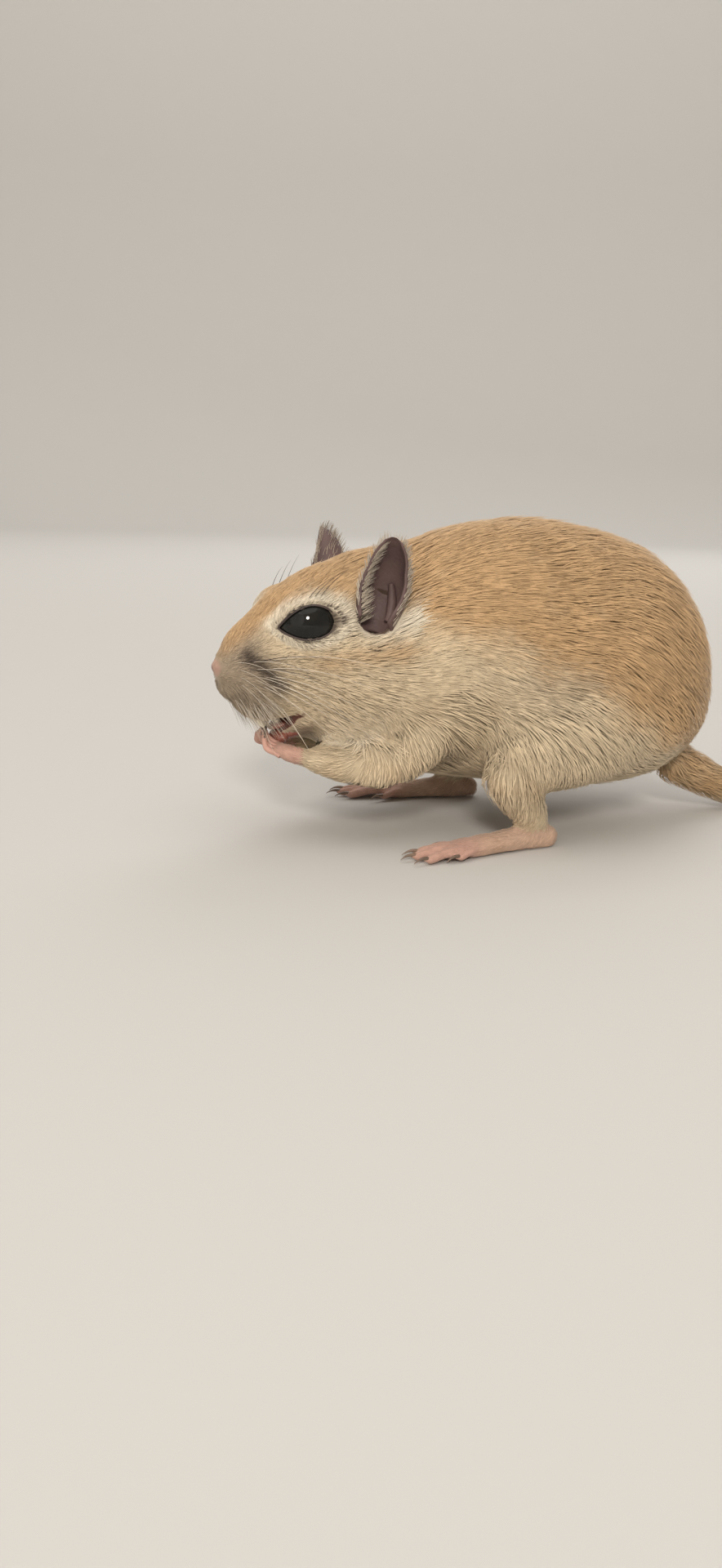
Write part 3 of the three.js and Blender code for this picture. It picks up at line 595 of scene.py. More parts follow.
bodyGuides = [
    (14, 0, 48, -1, 0, 0.1, 7, 1.8, 0.36, 1), (0, 0, 51, -1, 0, 0, 8, 2, 0.38, 1),
    (-18, 0, 46, -1, 0, -0.4, 8, 2, 0.38, 1), (-32, 0, 30, -0.6, 0, -1, 7.5, 1.8, 0.36, 1),
    (-36, 0, 15, -1, 0, -0.7, 5.5, 1.3, 0.32, 1), (-40, 0, 8, -1, 0, -0.2, 3.6, 0.8, 0.26, 1),
    (14, 15, 37, -1, 0, -0.1, 7, 1.7, 0.35, 1), (0, 17, 39, -1, 0, -0.15, 8, 2, 0.37, 1),
    (2, 20, 29, -1, 0, -0.35, 8, 2, 0.37, 1), (14, 17, 24, -1, 0, -0.4, 7, 1.7, 0.35, 1),
    (10, 16, 16, -0.95, 0, -0.4, 7, 1.7, 0.35, 1), (12, 6, 9.6, -1, 0, 0, 6.5, 1.5, 0.33, 1),
    (-8, 5, 8, -1, 0, 0, 6.5, 1.5, 0.33, 1), (26, 4, 12, -0.8, 0, -0.5, 6, 1.4, 0.32, 1),
    (25, 13, 19, -0.65, 0, -0.8, 6, 1.4, 0.32, 1), (-4, 21, 23, -0.75, 0, -0.75, 7, 1.7, 0.34, 1),
    (-20, 17, 27, -0.8, 0, -0.6, 7.5, 1.8, 0.36, 1), (-20, 15, 12, -0.8, 0, -0.5, 6.5, 1.5, 0.33, 1),
    (6, 21, 14, -0.3, 0, -1, 5, 1.1, 0.28, 1), (4.5, 20.5, 8.5, -0.2, 0, -1, 3.2, 0.7, 0.24, 1),
    (0, 17, 3.5, 0.5, 0, -0.8, 1.5, 0.25, 0.18, 1), (6, 18, 3.4, 1, 0.1, -0.25, 1.3, 0.2, 0.16, 1),
    (12, 19, 2.4, 1, 0.1, -0.1, 1, 0.12, 0.15, 1), (19, 19.5, 1.2, 1, 0.1, 0, 0.7, 0.06, 0.13, 1),
    (20, 14, 16, -0.3, 0, -1, 4, 0.9, 0.27, 1), (26.5, 14, 13, 0.2, -0.1, -1, 2.8, 0.6, 0.25, 1),
    (30.5, 12, 14.5, 0.85, -0.3, -0.3, 2.2, 0.5, 0.22, 1), (33, 9.5, 13, 0.9, -0.4, 0.2, 1.6, 0.3, 0.19, 1),
    (38.5, 6, 14.4, 0.9, -0.5, 0.4, 0.7, 0.06, 0.13, 1), (-50, 1, 3, -1, 0.1, -0.05, 2, 0.42, 0.2, 1),
    (-70, 6, 2.2, -1, 0.22, 0, 1.8, 0.36, 0.19, 1), (-86, 9, 2.1, -1, 0.05, 0, 1.8, 0.36, 0.19, 1),
    (-102, 8.4, 2.1, -1, -0.12, 0, 2.6, 0.42, 0.2, 0.8), (-113, 5.4, 2.2, -1, -0.35, 0.05, 6, 0.9, 0.24, 0.1),
    (-121, 1.2, 2, -0.9, -0.5, 0.05, 9, 1.2, 0.26, 0),
]
tailStart = -45  # guides behind it are not mirrored


def coatGuides():
    rows = []
    for table, onHead in ((headGuides, True), (bodyGuides, False)):
        for row in table:
            for sign in (1, -1) if row[1] and row[0] > tailStart else (1,):
                place, lie = mirrored(row[:3], sign), mirrored(row[3:6], sign)
                if onHead:
                    place, lie = fromHead(place), lie @ headTurn.T
                rows.append((*place, *unit(lie), *row[6:]))
    return np.array(rows)


guides = coatGuides()


def coatAt(points):  # lie, length, depth, width and cling at each point, blended from the guides near it
    blended = np.zeros((len(points), 7))
    for start in range(0, len(points), 20000):
        part = points[start : start + 20000]
        apart = ((part[:, None, :] - guides[None, :, :3]) ** 2).sum(2)
        weight = 1 / (apart + 1.5) ** 2.2
        blended[start : start + 20000] = (weight / weight.sum(1, keepdims=True)) @ guides[:, 3:]
    return blended


def bodyTree(names):  # the nodes' own surfaces, to tell which node a place belongs to
    points, faces, owner = [], [], []
    for index, name in enumerate(names):
        mesh = nodes[name].data
        start = len(points)
        points += [v.co.copy() for v in mesh.vertices]
        faces += [[start + i for i in p.vertices] for p in mesh.polygons]
        owner += [index] * len(mesh.polygons)
    return BVHTree.FromPolygons(points, faces), np.array(owner)


def nearestNode(tree, owner, places):
    return owner[[tree.find_nearest(p)[2] for p in places.tolist()]]


def ownedBy(owner, *starts):
    return np.isin(owner, [i for i, name in enumerate(fleshNodes) if name.startswith(starts)])


def swellAt(name, spots):  # none on toes and fingers, so that they stay apart
    x, y, z = spots[:, 0], np.abs(spots[:, 1]), spots[:, 2]
    toes = smoothStep(8.5, 11, x) * name.startswith("hind_foot")
    fingers = smoothStep(37.2, 38.6, x) * name.startswith("forepaw")
    return skinPlan["swell"] * (1 - np.maximum(toes, fingers))


def mergedNodes():  # copies of the nodes of flesh, each a little swollen to reach across the gaps
    points, faces = [], []
    for name in fleshNodes:
        source = nodes[name].data
        places = np.round(vertexPlaces(source) * 1e6) / 1e6
        unique, back = np.unique(places, axis=0, return_inverse=True)
        back = back.ravel()
        corners = np.array([list(p.vertices) for p in source.polygons if len(p.vertices) == 3])
        corners = back[corners]
        edgeA = unique[corners[:, 1]] - unique[corners[:, 0]]
        edgeB = unique[corners[:, 2]] - unique[corners[:, 0]]
        facing = np.cross(edgeA, edgeB)
        normals = np.zeros_like(unique)
        for k in range(3):
            np.add.at(normals, corners[:, k], facing)
        unique = unique + unit(normals) * swellAt(name, animal(unique))[:, None] / 1000
        faces += (corners + sum(len(p) for p in points)).tolist()
        points.append(unique)

    def join(places, shape):
        start = sum(len(p) for p in points)
        faces.extend([i + start for i in face] for face in shape)
        points.append(places)

    balls = [(fromHead(eyeFrame(sign)[0]), skinPlan["eyeFill"]) for sign in (1, -1)]  # just under the eyeballs
    balls += [((x, y * sign, z), radius) for x, y, z, radius in skinPlan["throat"] for sign in (1, -1)]
    for centre, radius in balls:
        places, shape = ballMesh(radius / 1000, 24, 16)
        join(places + metres(centre), shape)
    core = np.array(skinPlan["tailCore"])  # the tail's own core under its tuft
    places, shape = tubeMesh(core[:, :3], core[:, 3], 16)
    join(metres(places), shape)
    return np.vstack(points), faces


def tubeMesh(centres, radii, around):  # a closed tube through the centres, round at both ends
    centres, radii = np.asarray(centres, float), np.asarray(radii, float)
    ways = unit(np.gradient(centres, axis=0))
    flat = unit(np.cross(ways, np.where(np.abs(ways[:, 2:]) > 0.9, (1.0, 0, 0), (0, 0, 1.0))))
    rise = np.cross(flat, ways)
    points = [centres[0] - ways[0] * radii[0] * 0.5]
    for centre, radius, a, b in zip(centres, radii, flat, rise):
        for i in range(around):
            turn = 2 * math.pi * i / around
            points.append(centre + radius * (math.cos(turn) * a + math.sin(turn) * b))
    points.append(centres[-1] + ways[-1] * radii[-1] * 0.5)
    last = len(points) - 1
    faces = [(0, 1 + (i + 1) % around, 1 + i) for i in range(around)]
    faces += ringFaces(1, len(centres), around, turned=True)
    a = 1 + (len(centres) - 1) * around
    faces += [(a + i, a + (i + 1) % around, last) for i in range(around)]
    return np.array(points), faces


def ballMesh(radius, around, rows):
    places = [(0, 0, radius)]
    for k in range(1, rows):
        tilt = math.pi * k / rows
        for i in range(around):
            turn = 2 * math.pi * i / around
            places.append((math.sin(tilt) * math.cos(turn), math.sin(tilt) * math.sin(turn), math.cos(tilt)))
            places[-1] = tuple(radius * c for c in places[-1])
    places.append((0, 0, -radius))
    last = len(places) - 1
    faces = [(0, 1 + i, 1 + (i + 1) % around) for i in range(around)]
    faces += ringFaces(1, rows - 1, around)
    a = 1 + (rows - 2) * around
    faces += [(a + i, last, a + (i + 1) % around) for i in range(around)]
    return np.array(places, float), faces


def eyeReach(local, sign):  # how far out from the eye, with 1 at the lids, and the way out across the lids
    centre, along, up, look = eyeFrame(sign)
    offset = local - centre
    u, v = offset @ along, offset @ up
    outline = almond(96)
    rims = np.hypot(*outline.T)
    turns = np.arctan2(outline[:, 1], outline[:, 0])
    order = np.argsort(turns)
    reach = np.hypot(u, v) / np.interp(np.arctan2(v, u), turns[order], rims[order], period=2 * math.pi)
    outward = unit(along * (u / eyePlan["halfLength"] ** 2)[:, None] + up * (v / eyePlan["upper"] ** 2)[:, None])
    reach = np.where(offset @ look > 0, reach, 9)
    return reach, outward


def nearerEye(local):
    return np.minimum(eyeReach(local, 1)[0], eyeReach(local, -1)[0])


def eitherCup(local, grow=0.0):
    return np.maximum(earInside(local, 1, grow), earInside(local, -1, grow))


def makeSkin():
    points, faces = mergedNodes()
    mesh = bpy.data.meshes.new("skinStart")
    mesh.from_pydata(points.tolist(), [], faces)
    piece = newObject("skinStart", mesh)
    remesh = piece.modifiers.new("remesh", "REMESH")
    remesh.mode = "VOXEL"
    remesh.voxel_size = skinPlan["voxel"] / 1000
    piece = plainCopy(piece, "skinVoxels")
    places = vertexPlaces(piece.data)
    spots = animal(places)
    depth = coatAt(spots)[:, 4]
    soft = np.clip((depth - 0.1) / 0.9, 0.04, 1)
    group = piece.vertex_groups.new(name="soft")
    steps = skinPlan["steps"]
    for level in range(1, steps + 1):
        chosen = np.nonzero(np.ceil(soft * steps).astype(int) == level)[0]
        if len(chosen):
            group.add(chosen.tolist(), level / steps, "REPLACE")
    smooth = piece.modifiers.new("smooth", "SMOOTH")
    smooth.factor = 0.5
    smooth.iterations = skinPlan["rounds"]
    smooth.vertex_group = "soft"
    piece = plainCopy(piece, "skinSmooth")
    mesh = piece.data
    places = vertexPlaces(mesh)
    spots = animal(places)
    owner = nearestNode(nodeTree, nodeOwner, places)
    swell = np.zeros(len(spots))
    for index, name in enumerate(fleshNodes):
        mine = owner == index
        swell[mine] = swellAt(name, spots[mine])
    inset = coatAt(spots)[:, 4] + swell
    local = toHead(spots)
    for sign in (1, -1):  # the head sinks inside the cup of the ear
        inset += earPlan["hollow"] * earInside(local, sign)
    x, y, z = local[:, 0], np.abs(local[:, 1]), local[:, 2]
    bridge = bell(x + 4.2, 2.7) * smoothStep(0.2, 2.6, z) * smoothStep(4.6, 1.6, y)
    inset -= skinPlan["bridge"] * bridge * ownedBy(owner, "head")
    inset += digitPlan["sunk"] * smoothStep(38.8, 40, spots[:, 0]) * ownedBy(owner, "forepaw")
    places -= vertexNormals(mesh) * (inset / 1000)[:, None]
    mesh.vertices.foreach_set("co", places.astype(np.float32).ravel())
    mesh.update()
    piece.vertex_groups.clear()
    smooth = piece.modifiers.new("smooth", "SMOOTH")
    smooth.factor = 0.4
    smooth.iterations = 3
    thin = piece.modifiers.new("thin", "DECIMATE")
    thin.ratio = min(1.0, skinPlan["triangles"] / (2 * len(mesh.polygons)))
    piece = plainCopy(piece, "skin")
    piece.data.polygons.foreach_set("use_smooth", [True] * len(piece.data.polygons))
    places = vertexPlaces(piece.data)
    spots = animal(places)
    for tip, way, radius in digitTips():  # toes and fingers end round, their claws are pieces of their own
        offset = spots - tip
        far = np.maximum(np.linalg.norm(offset, axis=1), 1e-6)
        ahead = offset @ way
        beyond = (far < 4.5) & (ahead > 0) & (far**2 - ahead**2 < (radius + 0.15) ** 2) & (far > radius)
        spots[beyond] = tip + offset[beyond] * (radius / far[beyond])[:, None]
    local = toHead(spots)
    for sign in (1, -1):  # the skin keeps off the eyeballs inside the lids
        offset = local - eyeFrame(sign)[0]
        far = np.linalg.norm(offset, axis=1)
        inside = smoothStep(1.1, 1.02, eyeReach(local, sign)[0]) * (far < 7)
        far = np.maximum(far, 1e-6)
        local = local - offset * (inside * np.maximum(far - eyePlan["clear"], 0) / far)[:, None]
    piece.data.vertices.foreach_set("co", metres(fromHead(local)).astype(np.float32).ravel())
    piece.data.update()
    return piece


nodeTree, nodeOwner = bodyTree(fleshNodes)
skin = makeSkin()
print("skin faces", len(skin.data.polygons), "points", len(skin.data.vertices))


mouthShape = [(3, -8.4), (-2.6, -8.6), (-9.6, -9.7), (-6.3, -12), (-5, -14), (3, -18)]


def insideShape(x, z, shape, grow):  # inside a flat outline, or closer than grow to its edge
    inside = np.zeros(len(x), bool)
    near = np.full(len(x), 1e9)
    for (ax, az), (bx, bz) in zip(shape, shape[1:] + shape[:1]):
        crosses = (az > z) != (bz > z)
        at = (bx - ax) * (z - az) / ((bz - az) or 1e-9) + ax
        inside ^= crosses & (x < at)
        near = np.minimum(near, segmentDistance(x, z, (ax, az), (bx, bz)))
    return inside | (near < grow)


# Marks of the coat, with a spot of painted shade under the jaw: lines by their height at places along the head or the
# body, spots by their place and width
markPlan = {
    "border": ((-34, -30, -26, -21, -18, -16, -12, -8, -4, 0), (-1.0, -0.2, 0.8, 4.2, 5.8, 7.2, 6.2, 4.6, 2.6, 1.6)),
    "flank": ((-34, -22, -10, 0, 8, 16, 24), (10, 17, 24, 29, 33, 35.5, 35.5)),
    "band": ((-32, -25, -17, -12), (-6.6, -5.2, -2.6, -2.0)),
    "patch": ((-34, -26, -20), (-1.2, -1.0, 0.4)),
    "streak": ((-3.9, 1.4), (-5.0, -0.9), (-6.2, -3.4)),
    "jowl": (-11, -12, 3.2),
    "lipSpot": (-1.4, -3.4, 1.1),
    # painted shade: a dark brown spot under the jaw, where it meets the raised forepaw
    "chinShade": (-8.8, -12.6, 1.5),
    "pad": (1.2, 1.55, 1.25),  # half sizes of the nose pad: its colour, and the part without hair
    "padBare": (1.3, 1.7, 1.35),
    "mouthWidth": 5.8,
}


def spotBell(x, z, name):
    ax, az, width = markPlan[name]
    return bell(np.hypot(x - ax, z - az), width)


def padReach(x, y, z, name):
    a, b, c = markPlan[name]
    return np.hypot(np.hypot((x + 0.75) / a, y / b), (z - 0.4) / c)


def coatMasks(spots, owner):  # the marks at each place, painted shade among them: the same for skin and coat
    local = toHead(spots)
    x, y, z = local[:, 0], np.abs(local[:, 1]), local[:, 2]
    bx, by, bz = spots[:, 0], np.abs(spots[:, 1]), spots[:, 2]
    onHead = ownedBy(owner, "head")
    onTail = ownedBy(owner, "tail")
    onHind = ownedBy(owner, "hind_foot")
    onPaw = ownedBy(owner, "forepaw")
    blend = smoothStep(-34, -28, x) * onHead  # 1 on the head, 0 on the body
    goldenHead = smoothStep(-1.2, 1.2, z - np.interp(x, *markPlan["border"]))
    goldenBody = smoothStep(-6.5, 3, bz - np.interp(bx, *markPlan["flank"]))
    band = 0.5 * bell(z - np.interp(x, *markPlan["band"]), 1.5) * smoothStep(5, 8, y)
    band *= smoothStep(-9.5, -13, x) * smoothStep(-40, -30, x)
    jowl = 0.35 * spotBell(x, z, "jowl")
    golden = blend * np.maximum.reduce([goldenHead, band, jowl]) + (1 - blend) * np.maximum(goldenBody, band * 0.7)
    golden = np.where(ownedBy(owner, "shank", "hind_foot", "forearm", "forepaw"), 0.12, golden)
    golden = np.where(onTail, 0.35 + 0.5 * smoothStep(0, 2, bz - 2.4), golden)
    eyeNear = nearerEye(local)
    pale = 0.75 * bell(eyeNear - 1.3, 0.3) * onHead
    patch = 0.8 * bell(z - np.interp(x, *markPlan["patch"]), 2.2)
    pale = np.maximum(pale, patch * smoothStep(-17, -21, x) * blend * smoothStep(6, 9, y))
    pale = np.maximum(pale, 0.4 * smoothStep(-8, -16, z) * blend)
    muzzle = smoothStep(-9.5, -3.0, x) * smoothStep(3.6, 1.0, z - 0.5 * np.clip(-x - 2, 0, 8)) * onHead
    grizzle_and_shade = 0.8 * muzzle * smoothStep(-9.5, -5.0, z)
    # painted shade: dark wavy bands across the flank behind the shoulder, where the coat ripples, in the grizzle
    # colour
    rippleShade = np.sin((bz + 0.28 * bx) * 5.4 + 0.8 * np.sin(bx * 0.7)) * 0.5 + 0.5
    rippleShade *= bell(np.hypot((bx - 5) / 9, (bz - 26.5) / 4.5), 1) * smoothStep(12, 15, by) * (1 - onHead)
    grizzle_and_shade = np.maximum(grizzle_and_shade, 0.6 * rippleShade**1.5)
    earFront = 0.45 * bell(np.hypot(x + 20.3, (z - 1.6) * 0.7), 2.0)
    grizzle_and_shade = np.maximum(grizzle_and_shade, earFront * smoothStep(6, 9, y) * onHead)
    streak = np.minimum(*(segmentDistance(x, z, *ends) for ends in zip(markPlan["streak"], markPlan["streak"][1:])))
    dusk = 0.9 * bell(streak, 1.25) * smoothStep(2.6, 3.6, y) * onHead
    dusk = np.maximum(dusk, 0.5 * spotBell(x, z, "lipSpot") * smoothStep(1.2, 2.0, y) * onHead)
    # the dark rim of the lids, with painted shade on the skin in the eye's corners inside the lids
    dusk = np.maximum(dusk, 0.92 * smoothStep(1.16, 1.04, eyeNear) * onHead)
    pink = np.where(onHind, 0.55 + 0.35 * smoothStep(9, 14, bx), 0.0)
    pink = np.where(onPaw, 0.9, pink)
    pad = 0.6 * smoothStep(1.25, 0.95, padReach(x, y, z, "pad"))
    pink = np.where(onHead, np.maximum(pink, pad), pink)
    mouth = insideShape(x, z, mouthShape, 0.3) & onHead & (y < markPlan["mouthWidth"])
    red = np.where(mouth, 1.0, 0.0)
    # painted shade: the inside of the mouth darkens towards its corner
    dusk = np.where(mouth, 0.1 + 0.5 * smoothStep(-4, -9, x), dusk)
    brown = np.where(onTail, smoothStep(-96, -112, bx) * 0.9, 0)
    # painted shade under the jaw, in front of the forepaw, added to the brown mark
    brown = np.maximum(brown, 0.7 * spotBell(x, z, "chinShade") * smoothStep(8, 5, y) * onHead)
    cup = eitherCup(local)
    brown = np.maximum(brown, smoothStep(0.05, 0.4, cup))
    dusk = np.maximum(dusk, 0.3 * cup)
    return dict(zip(coatMarks, (golden, grizzle_and_shade, dusk, pink, brown, pale, red)))


skinPlaces = vertexPlaces(skin.data)
skinNormals = vertexNormals(skin.data)
skinSpots = animal(skinPlaces)
skinOwner = nearestNode(nodeTree, nodeOwner, skinPlaces)
for mark, values in coatMasks(skinSpots, skinOwner).items():
    setField(skin.data, mark, values)
skin.data.materials.clear()
skin.data.materials.append(hideFinish)

# Coat: thin tapered tufts that lie along the body
print("coat")
coatPlan = {
    "turn": 6.5,  # degrees that a tuft may swing from the lie
    "swirl": 8.0,  # degrees that the whole lie wanders
    "lengths": (0.72, 1.2),  # shares of the length in the guides
    "widths": (0.75, 1.25),
    "lift": 0.78,  # share of the coat's depth that a tip stands at, and its slow and quick changes
    "liftWave": 0.1,
    "liftNoise": 0.1,
    "liftLimits": (0.1, 1.2),
    "sunk": 0.2,
    "patch": 0.003,
    "guardWidth": 0.72,  # shares of the width in the guides: bent guard tufts, and plain ones of the undercoat
    "underWidth": 0.58,
    "underLength": 0.72,
    "underLift": 0.74,
    "softness": 0.6,  # how far a tuft is shaded as the skin under it
    "behindEar": (-27.5, 13.2, 1.5),  # hair is short here and keeps off the ear
    "bent": [  # the corners of a guard tuft: a ring at the root, a ring halfway and the tip
        (0, 2, 1), (0, 1, 4), (0, 4, 3), (1, 2, 5), (1, 5, 4), (2, 0, 3), (2, 3, 5), (3, 4, 6), (4, 5, 6), (5, 3, 6),
    ],
    "plain": [(0, 2, 1), (0, 1, 3), (1, 2, 3), (2, 0, 3)],
}


def triangleTable(mesh):
    mesh.calc_loop_triangles()
    table = np.zeros(len(mesh.loop_triangles) * 3, np.int32)
    mesh.loop_triangles.foreach_get("vertices", table)
    return table.reshape(-1, 3)


skinFaces = triangleTable(skin.data)
skinTree = BVHTree.FromPolygons(skinPlaces.tolist(), skinFaces.tolist())
faceNormals = unit(skinNormals[skinFaces].sum(1))
faceCorners = skinSpots[skinFaces]
faceCentres = faceCorners.mean(1)
faceEdges = faceCorners[:, 1:] - faceCorners[:, :1]
faceAreas = np.linalg.norm(np.cross(faceEdges[:, 0], faceEdges[:, 1]), axis=1)
faceOwner = nearestNode(nodeTree, nodeOwner, metres(faceCentres))


def onSkin(spots):  # nearest places on the skin, and the smoothed normals there
    found = [skinTree.find_nearest(p) for p in metres(spots).tolist()]
    places = animal(np.array([tuple(f[0]) for f in found]))
    return places, faceNormals[np.array([f[2] for f in found])]


def unwrapSkin():  # a lighter copy of the skin, unwrapped by its own shape, for the places of the tufts' patches
    copy = newObject("skinUnwrap", skin.data.copy())
    thin = copy.modifiers.new("thin", "DECIMATE")
    thin.ratio = 0.03
    copy = plainCopy(copy, "skinUnwrap")
    bpy.context.view_layer.objects.active = copy
    copy.select_set(True)
    bpy.ops.object.mode_set(mode="EDIT")
    bpy.ops.mesh.select_all(action="SELECT")
    bpy.ops.uv.smart_project(angle_limit=math.radians(66), island_margin=0.004)
    bpy.ops.object.mode_set(mode="OBJECT")
    mesh = copy.data
    places = vertexPlaces(mesh)
    mesh.calc_loop_triangles()
    corners = np.zeros(len(mesh.loop_triangles) * 3, np.int32)
    mesh.loop_triangles.foreach_get("loops", corners)
    faces = triangleTable(mesh)
    maps = np.zeros(len(mesh.loops) * 2, np.float32)
    mesh.uv_layers.active.data.foreach_get("uv", maps)
    maps = maps.reshape(-1, 2)[corners.reshape(-1, 3)]
    bpy.data.objects.remove(copy)
    return BVHTree.FromPolygons(places.tolist(), faces.tolist()), places[faces], maps


def mapPlaces(places, unwrap):
    tree, triangles, maps = unwrap
    found = [tree.find_nearest(p) for p in places.tolist()]
    index = np.array([f[2] for f in found])
    spot = np.array([tuple(f[0]) for f in found])
    a, b, c = (triangles[index, k] for k in range(3))
    v0, v1, v2 = b - a, c - a, spot - a
    d00, d01, d11 = (v0 * v0).sum(1), (v0 * v1).sum(1), (v1 * v1).sum(1)
    d20, d21 = (v2 * v0).sum(1), (v2 * v1).sum(1)
    base = np.maximum(d00 * d11 - d01 * d01, 1e-20)
    second = np.clip((d11 * d20 - d01 * d21) / base, 0, 1)
    third = np.clip((d00 * d21 - d01 * d20) / base, 0, 1)
    first = np.clip(1 - second - third, 0, 1)
    shares = np.stack([first, second, third], 1)
    return (maps[index] * shares[:, :, None]).sum(1)


def waves(spots, scale, seed):  # a slow wandering value between -1 and 1, the same each run
    draw = np.random.default_rng(seed)
    total = np.zeros(len(spots))
    for _ in range(5):
        way = unit(draw.normal(size=3)) * draw.uniform(0.6, 1.6) / scale
        total += np.sin(spots @ way + draw.uniform(0, 6.28))
    return total / 3


def bareOf(spots, owner):  # places that carry no hair
    local = toHead(spots)
    x, y, z = local[:, 0], np.abs(local[:, 1]), local[:, 2]
    head = ownedBy(owner, "head")
    pad = padReach(x, y, z, "padBare") < 1.1
    mouth = insideShape(x, z, mouthShape, 0.35) & (y < markPlan["mouthWidth"])
    eye = nearerEye(local) < 1.08 - 0.07 * smoothStep(-15.5, -17.5, x)
    cup = eitherCup(local, 0.3) > 0.02
    sole = ownedBy(owner, "hind_foot") & (spots[:, 2] < 0.8)
    return (head & (pad | mouth | eye)) | cup | sole


def dot(first, second):
    return (first * second).sum(1, keepdims=True)


def chooseRoots(chosen, guard, under):  # more of them where the coat is short and fine
    coat = coatAt(faceCentres[chosen])
    chance = faceAreas[chosen] / (coat[:, 3] * coat[:, 5]) ** 0.75 * np.clip(coat[:, 4] / 0.3, 0.22, 1)
    count = guard + under
    picked = chosen[rng.choice(len(chosen), count, p=chance / chance.sum())]
    first, second = rng.random(count), rng.random(count)
    flip = first + second > 1
    first[flip], second[flip] = 1 - first[flip], 1 - second[flip]
    a, b, c = (faceCorners[picked, k] for k in range(3))
    roots = a + first[:, None] * (b - a) + second[:, None] * (c - a)
    keep = ~bareOf(roots, faceOwner[picked])
    return roots[keep], picked[keep], (np.arange(count) < guard)[keep]


def combTufts(roots, owner, normals, bent):  # middle and tip of each tuft, its width and whether it is kept
    coat = coatAt(roots)
    lie, length, depth, width, cling = coat[:, :3], coat[:, 3], coat[:, 4], coat[:, 5], coat[:, 6:]
    local = toHead(roots)
    count = len(roots)
    for sign in (1, -1):  # the hair parts round the eyes
        reach, outward = eyeReach(local, sign)
        near = (smoothStep(2.1, 1.0, reach) * ownedBy(owner, "head"))[:, None]
        outward = outward @ headTurn.T
        lie = lie - outward * (np.minimum(dot(lie, outward), 0) * near) + outward * (0.25 * near)
        length = length * (1 - 0.45 * near[:, 0])
    behindEar = np.linalg.norm(local * (1, 0, 1) + np.abs(local * (0, 1, 0)) - coatPlan["behindEar"], axis=1)
    length = length * (1 - 0.5 * bell(behindEar, 3.4))
    lie = unit(lie - normals * dot(lie, normals))
    side = np.cross(normals, lie)
    swing = np.radians(coatPlan["swirl"] * waves(roots, 3.0, 7) + coatPlan["turn"] * rng.normal(0, 1, count))
    lie = lie * np.cos(swing)[:, None] + side * np.sin(swing)[:, None]
    length = length * rng.uniform(*coatPlan["lengths"], count)
    length = (length * np.where(bent, 1, coatPlan["underLength"]))[:, None]
    change = coatPlan["liftWave"] * waves(roots, 1.6, 11) + rng.normal(0, coatPlan["liftNoise"], count)
    least, most = coatPlan["liftLimits"]
    lift = np.clip(depth * (coatPlan["lift"] + change), least * depth, most * depth)
    lift = (lift * np.where(bent, 1, coatPlan["underLift"]))[:, None]
    middle = roots + lie * (0.5 * length)
    below, middleNormals = onSkin(middle)
    follow = unit(lie - middleNormals * dot(lie, middleNormals))
    tipBelow, tipNormals = onSkin(below + follow * (0.5 * length))
    middle = (below + middleNormals * (0.72 * lift)) * cling + (middle + normals * (0.9 * lift)) * (1 - cling)
    freeTip = roots + lie * length + normals * (1.1 * lift)
    tip = (tipBelow + tipNormals * lift) * cling + freeTip * (1 - cling)
    tip[:, 2] = np.maximum(tip[:, 2], 0.15)
    middle[:, 2] = np.maximum(middle[:, 2], 0.25)
    inCup = [earInside(toHead(spots), sign) > 0.01 for spots in (middle, tip) for sign in (1, -1)]
    turned = (dot(normals, middleNormals) < 0.5) | (dot(normals, tipNormals) < 0.2)
    keep = ~np.any(inCup, axis=0) & ~(turned[:, 0] & (behindEar < 7.5))
    return middle, middleNormals, tip, width, keep


def shapeTufts(roots, normals, bent, middle, middleNormals, tip, width):  # the corners of every tuft
    start = roots - normals * coatPlan["sunk"]
    width = width * rng.uniform(*coatPlan["widths"], len(roots))
    width = width * np.where(bent, coatPlan["guardWidth"], coatPlan["underWidth"])
    points = np.zeros((len(roots), 7, 3))
    points[:, 6] = tip
    rings = ((start, normals, middle, 1.0), (middle, middleNormals, tip, 0.85))
    for ring, (centre, up, end, size) in enumerate(rings):
        way = unit(end - start)
        across = unit(np.cross(up, way))
        half = (0.5 * width * size)[:, None]
        points[:, 3 * ring] = centre - across * half
        points[:, 3 * ring + 1] = centre + across * half
        points[:, 3 * ring + 2] = centre + np.cross(way, across) * half * 0.75
    return points[bent], points[~bent][:, (0, 1, 2, 6)]


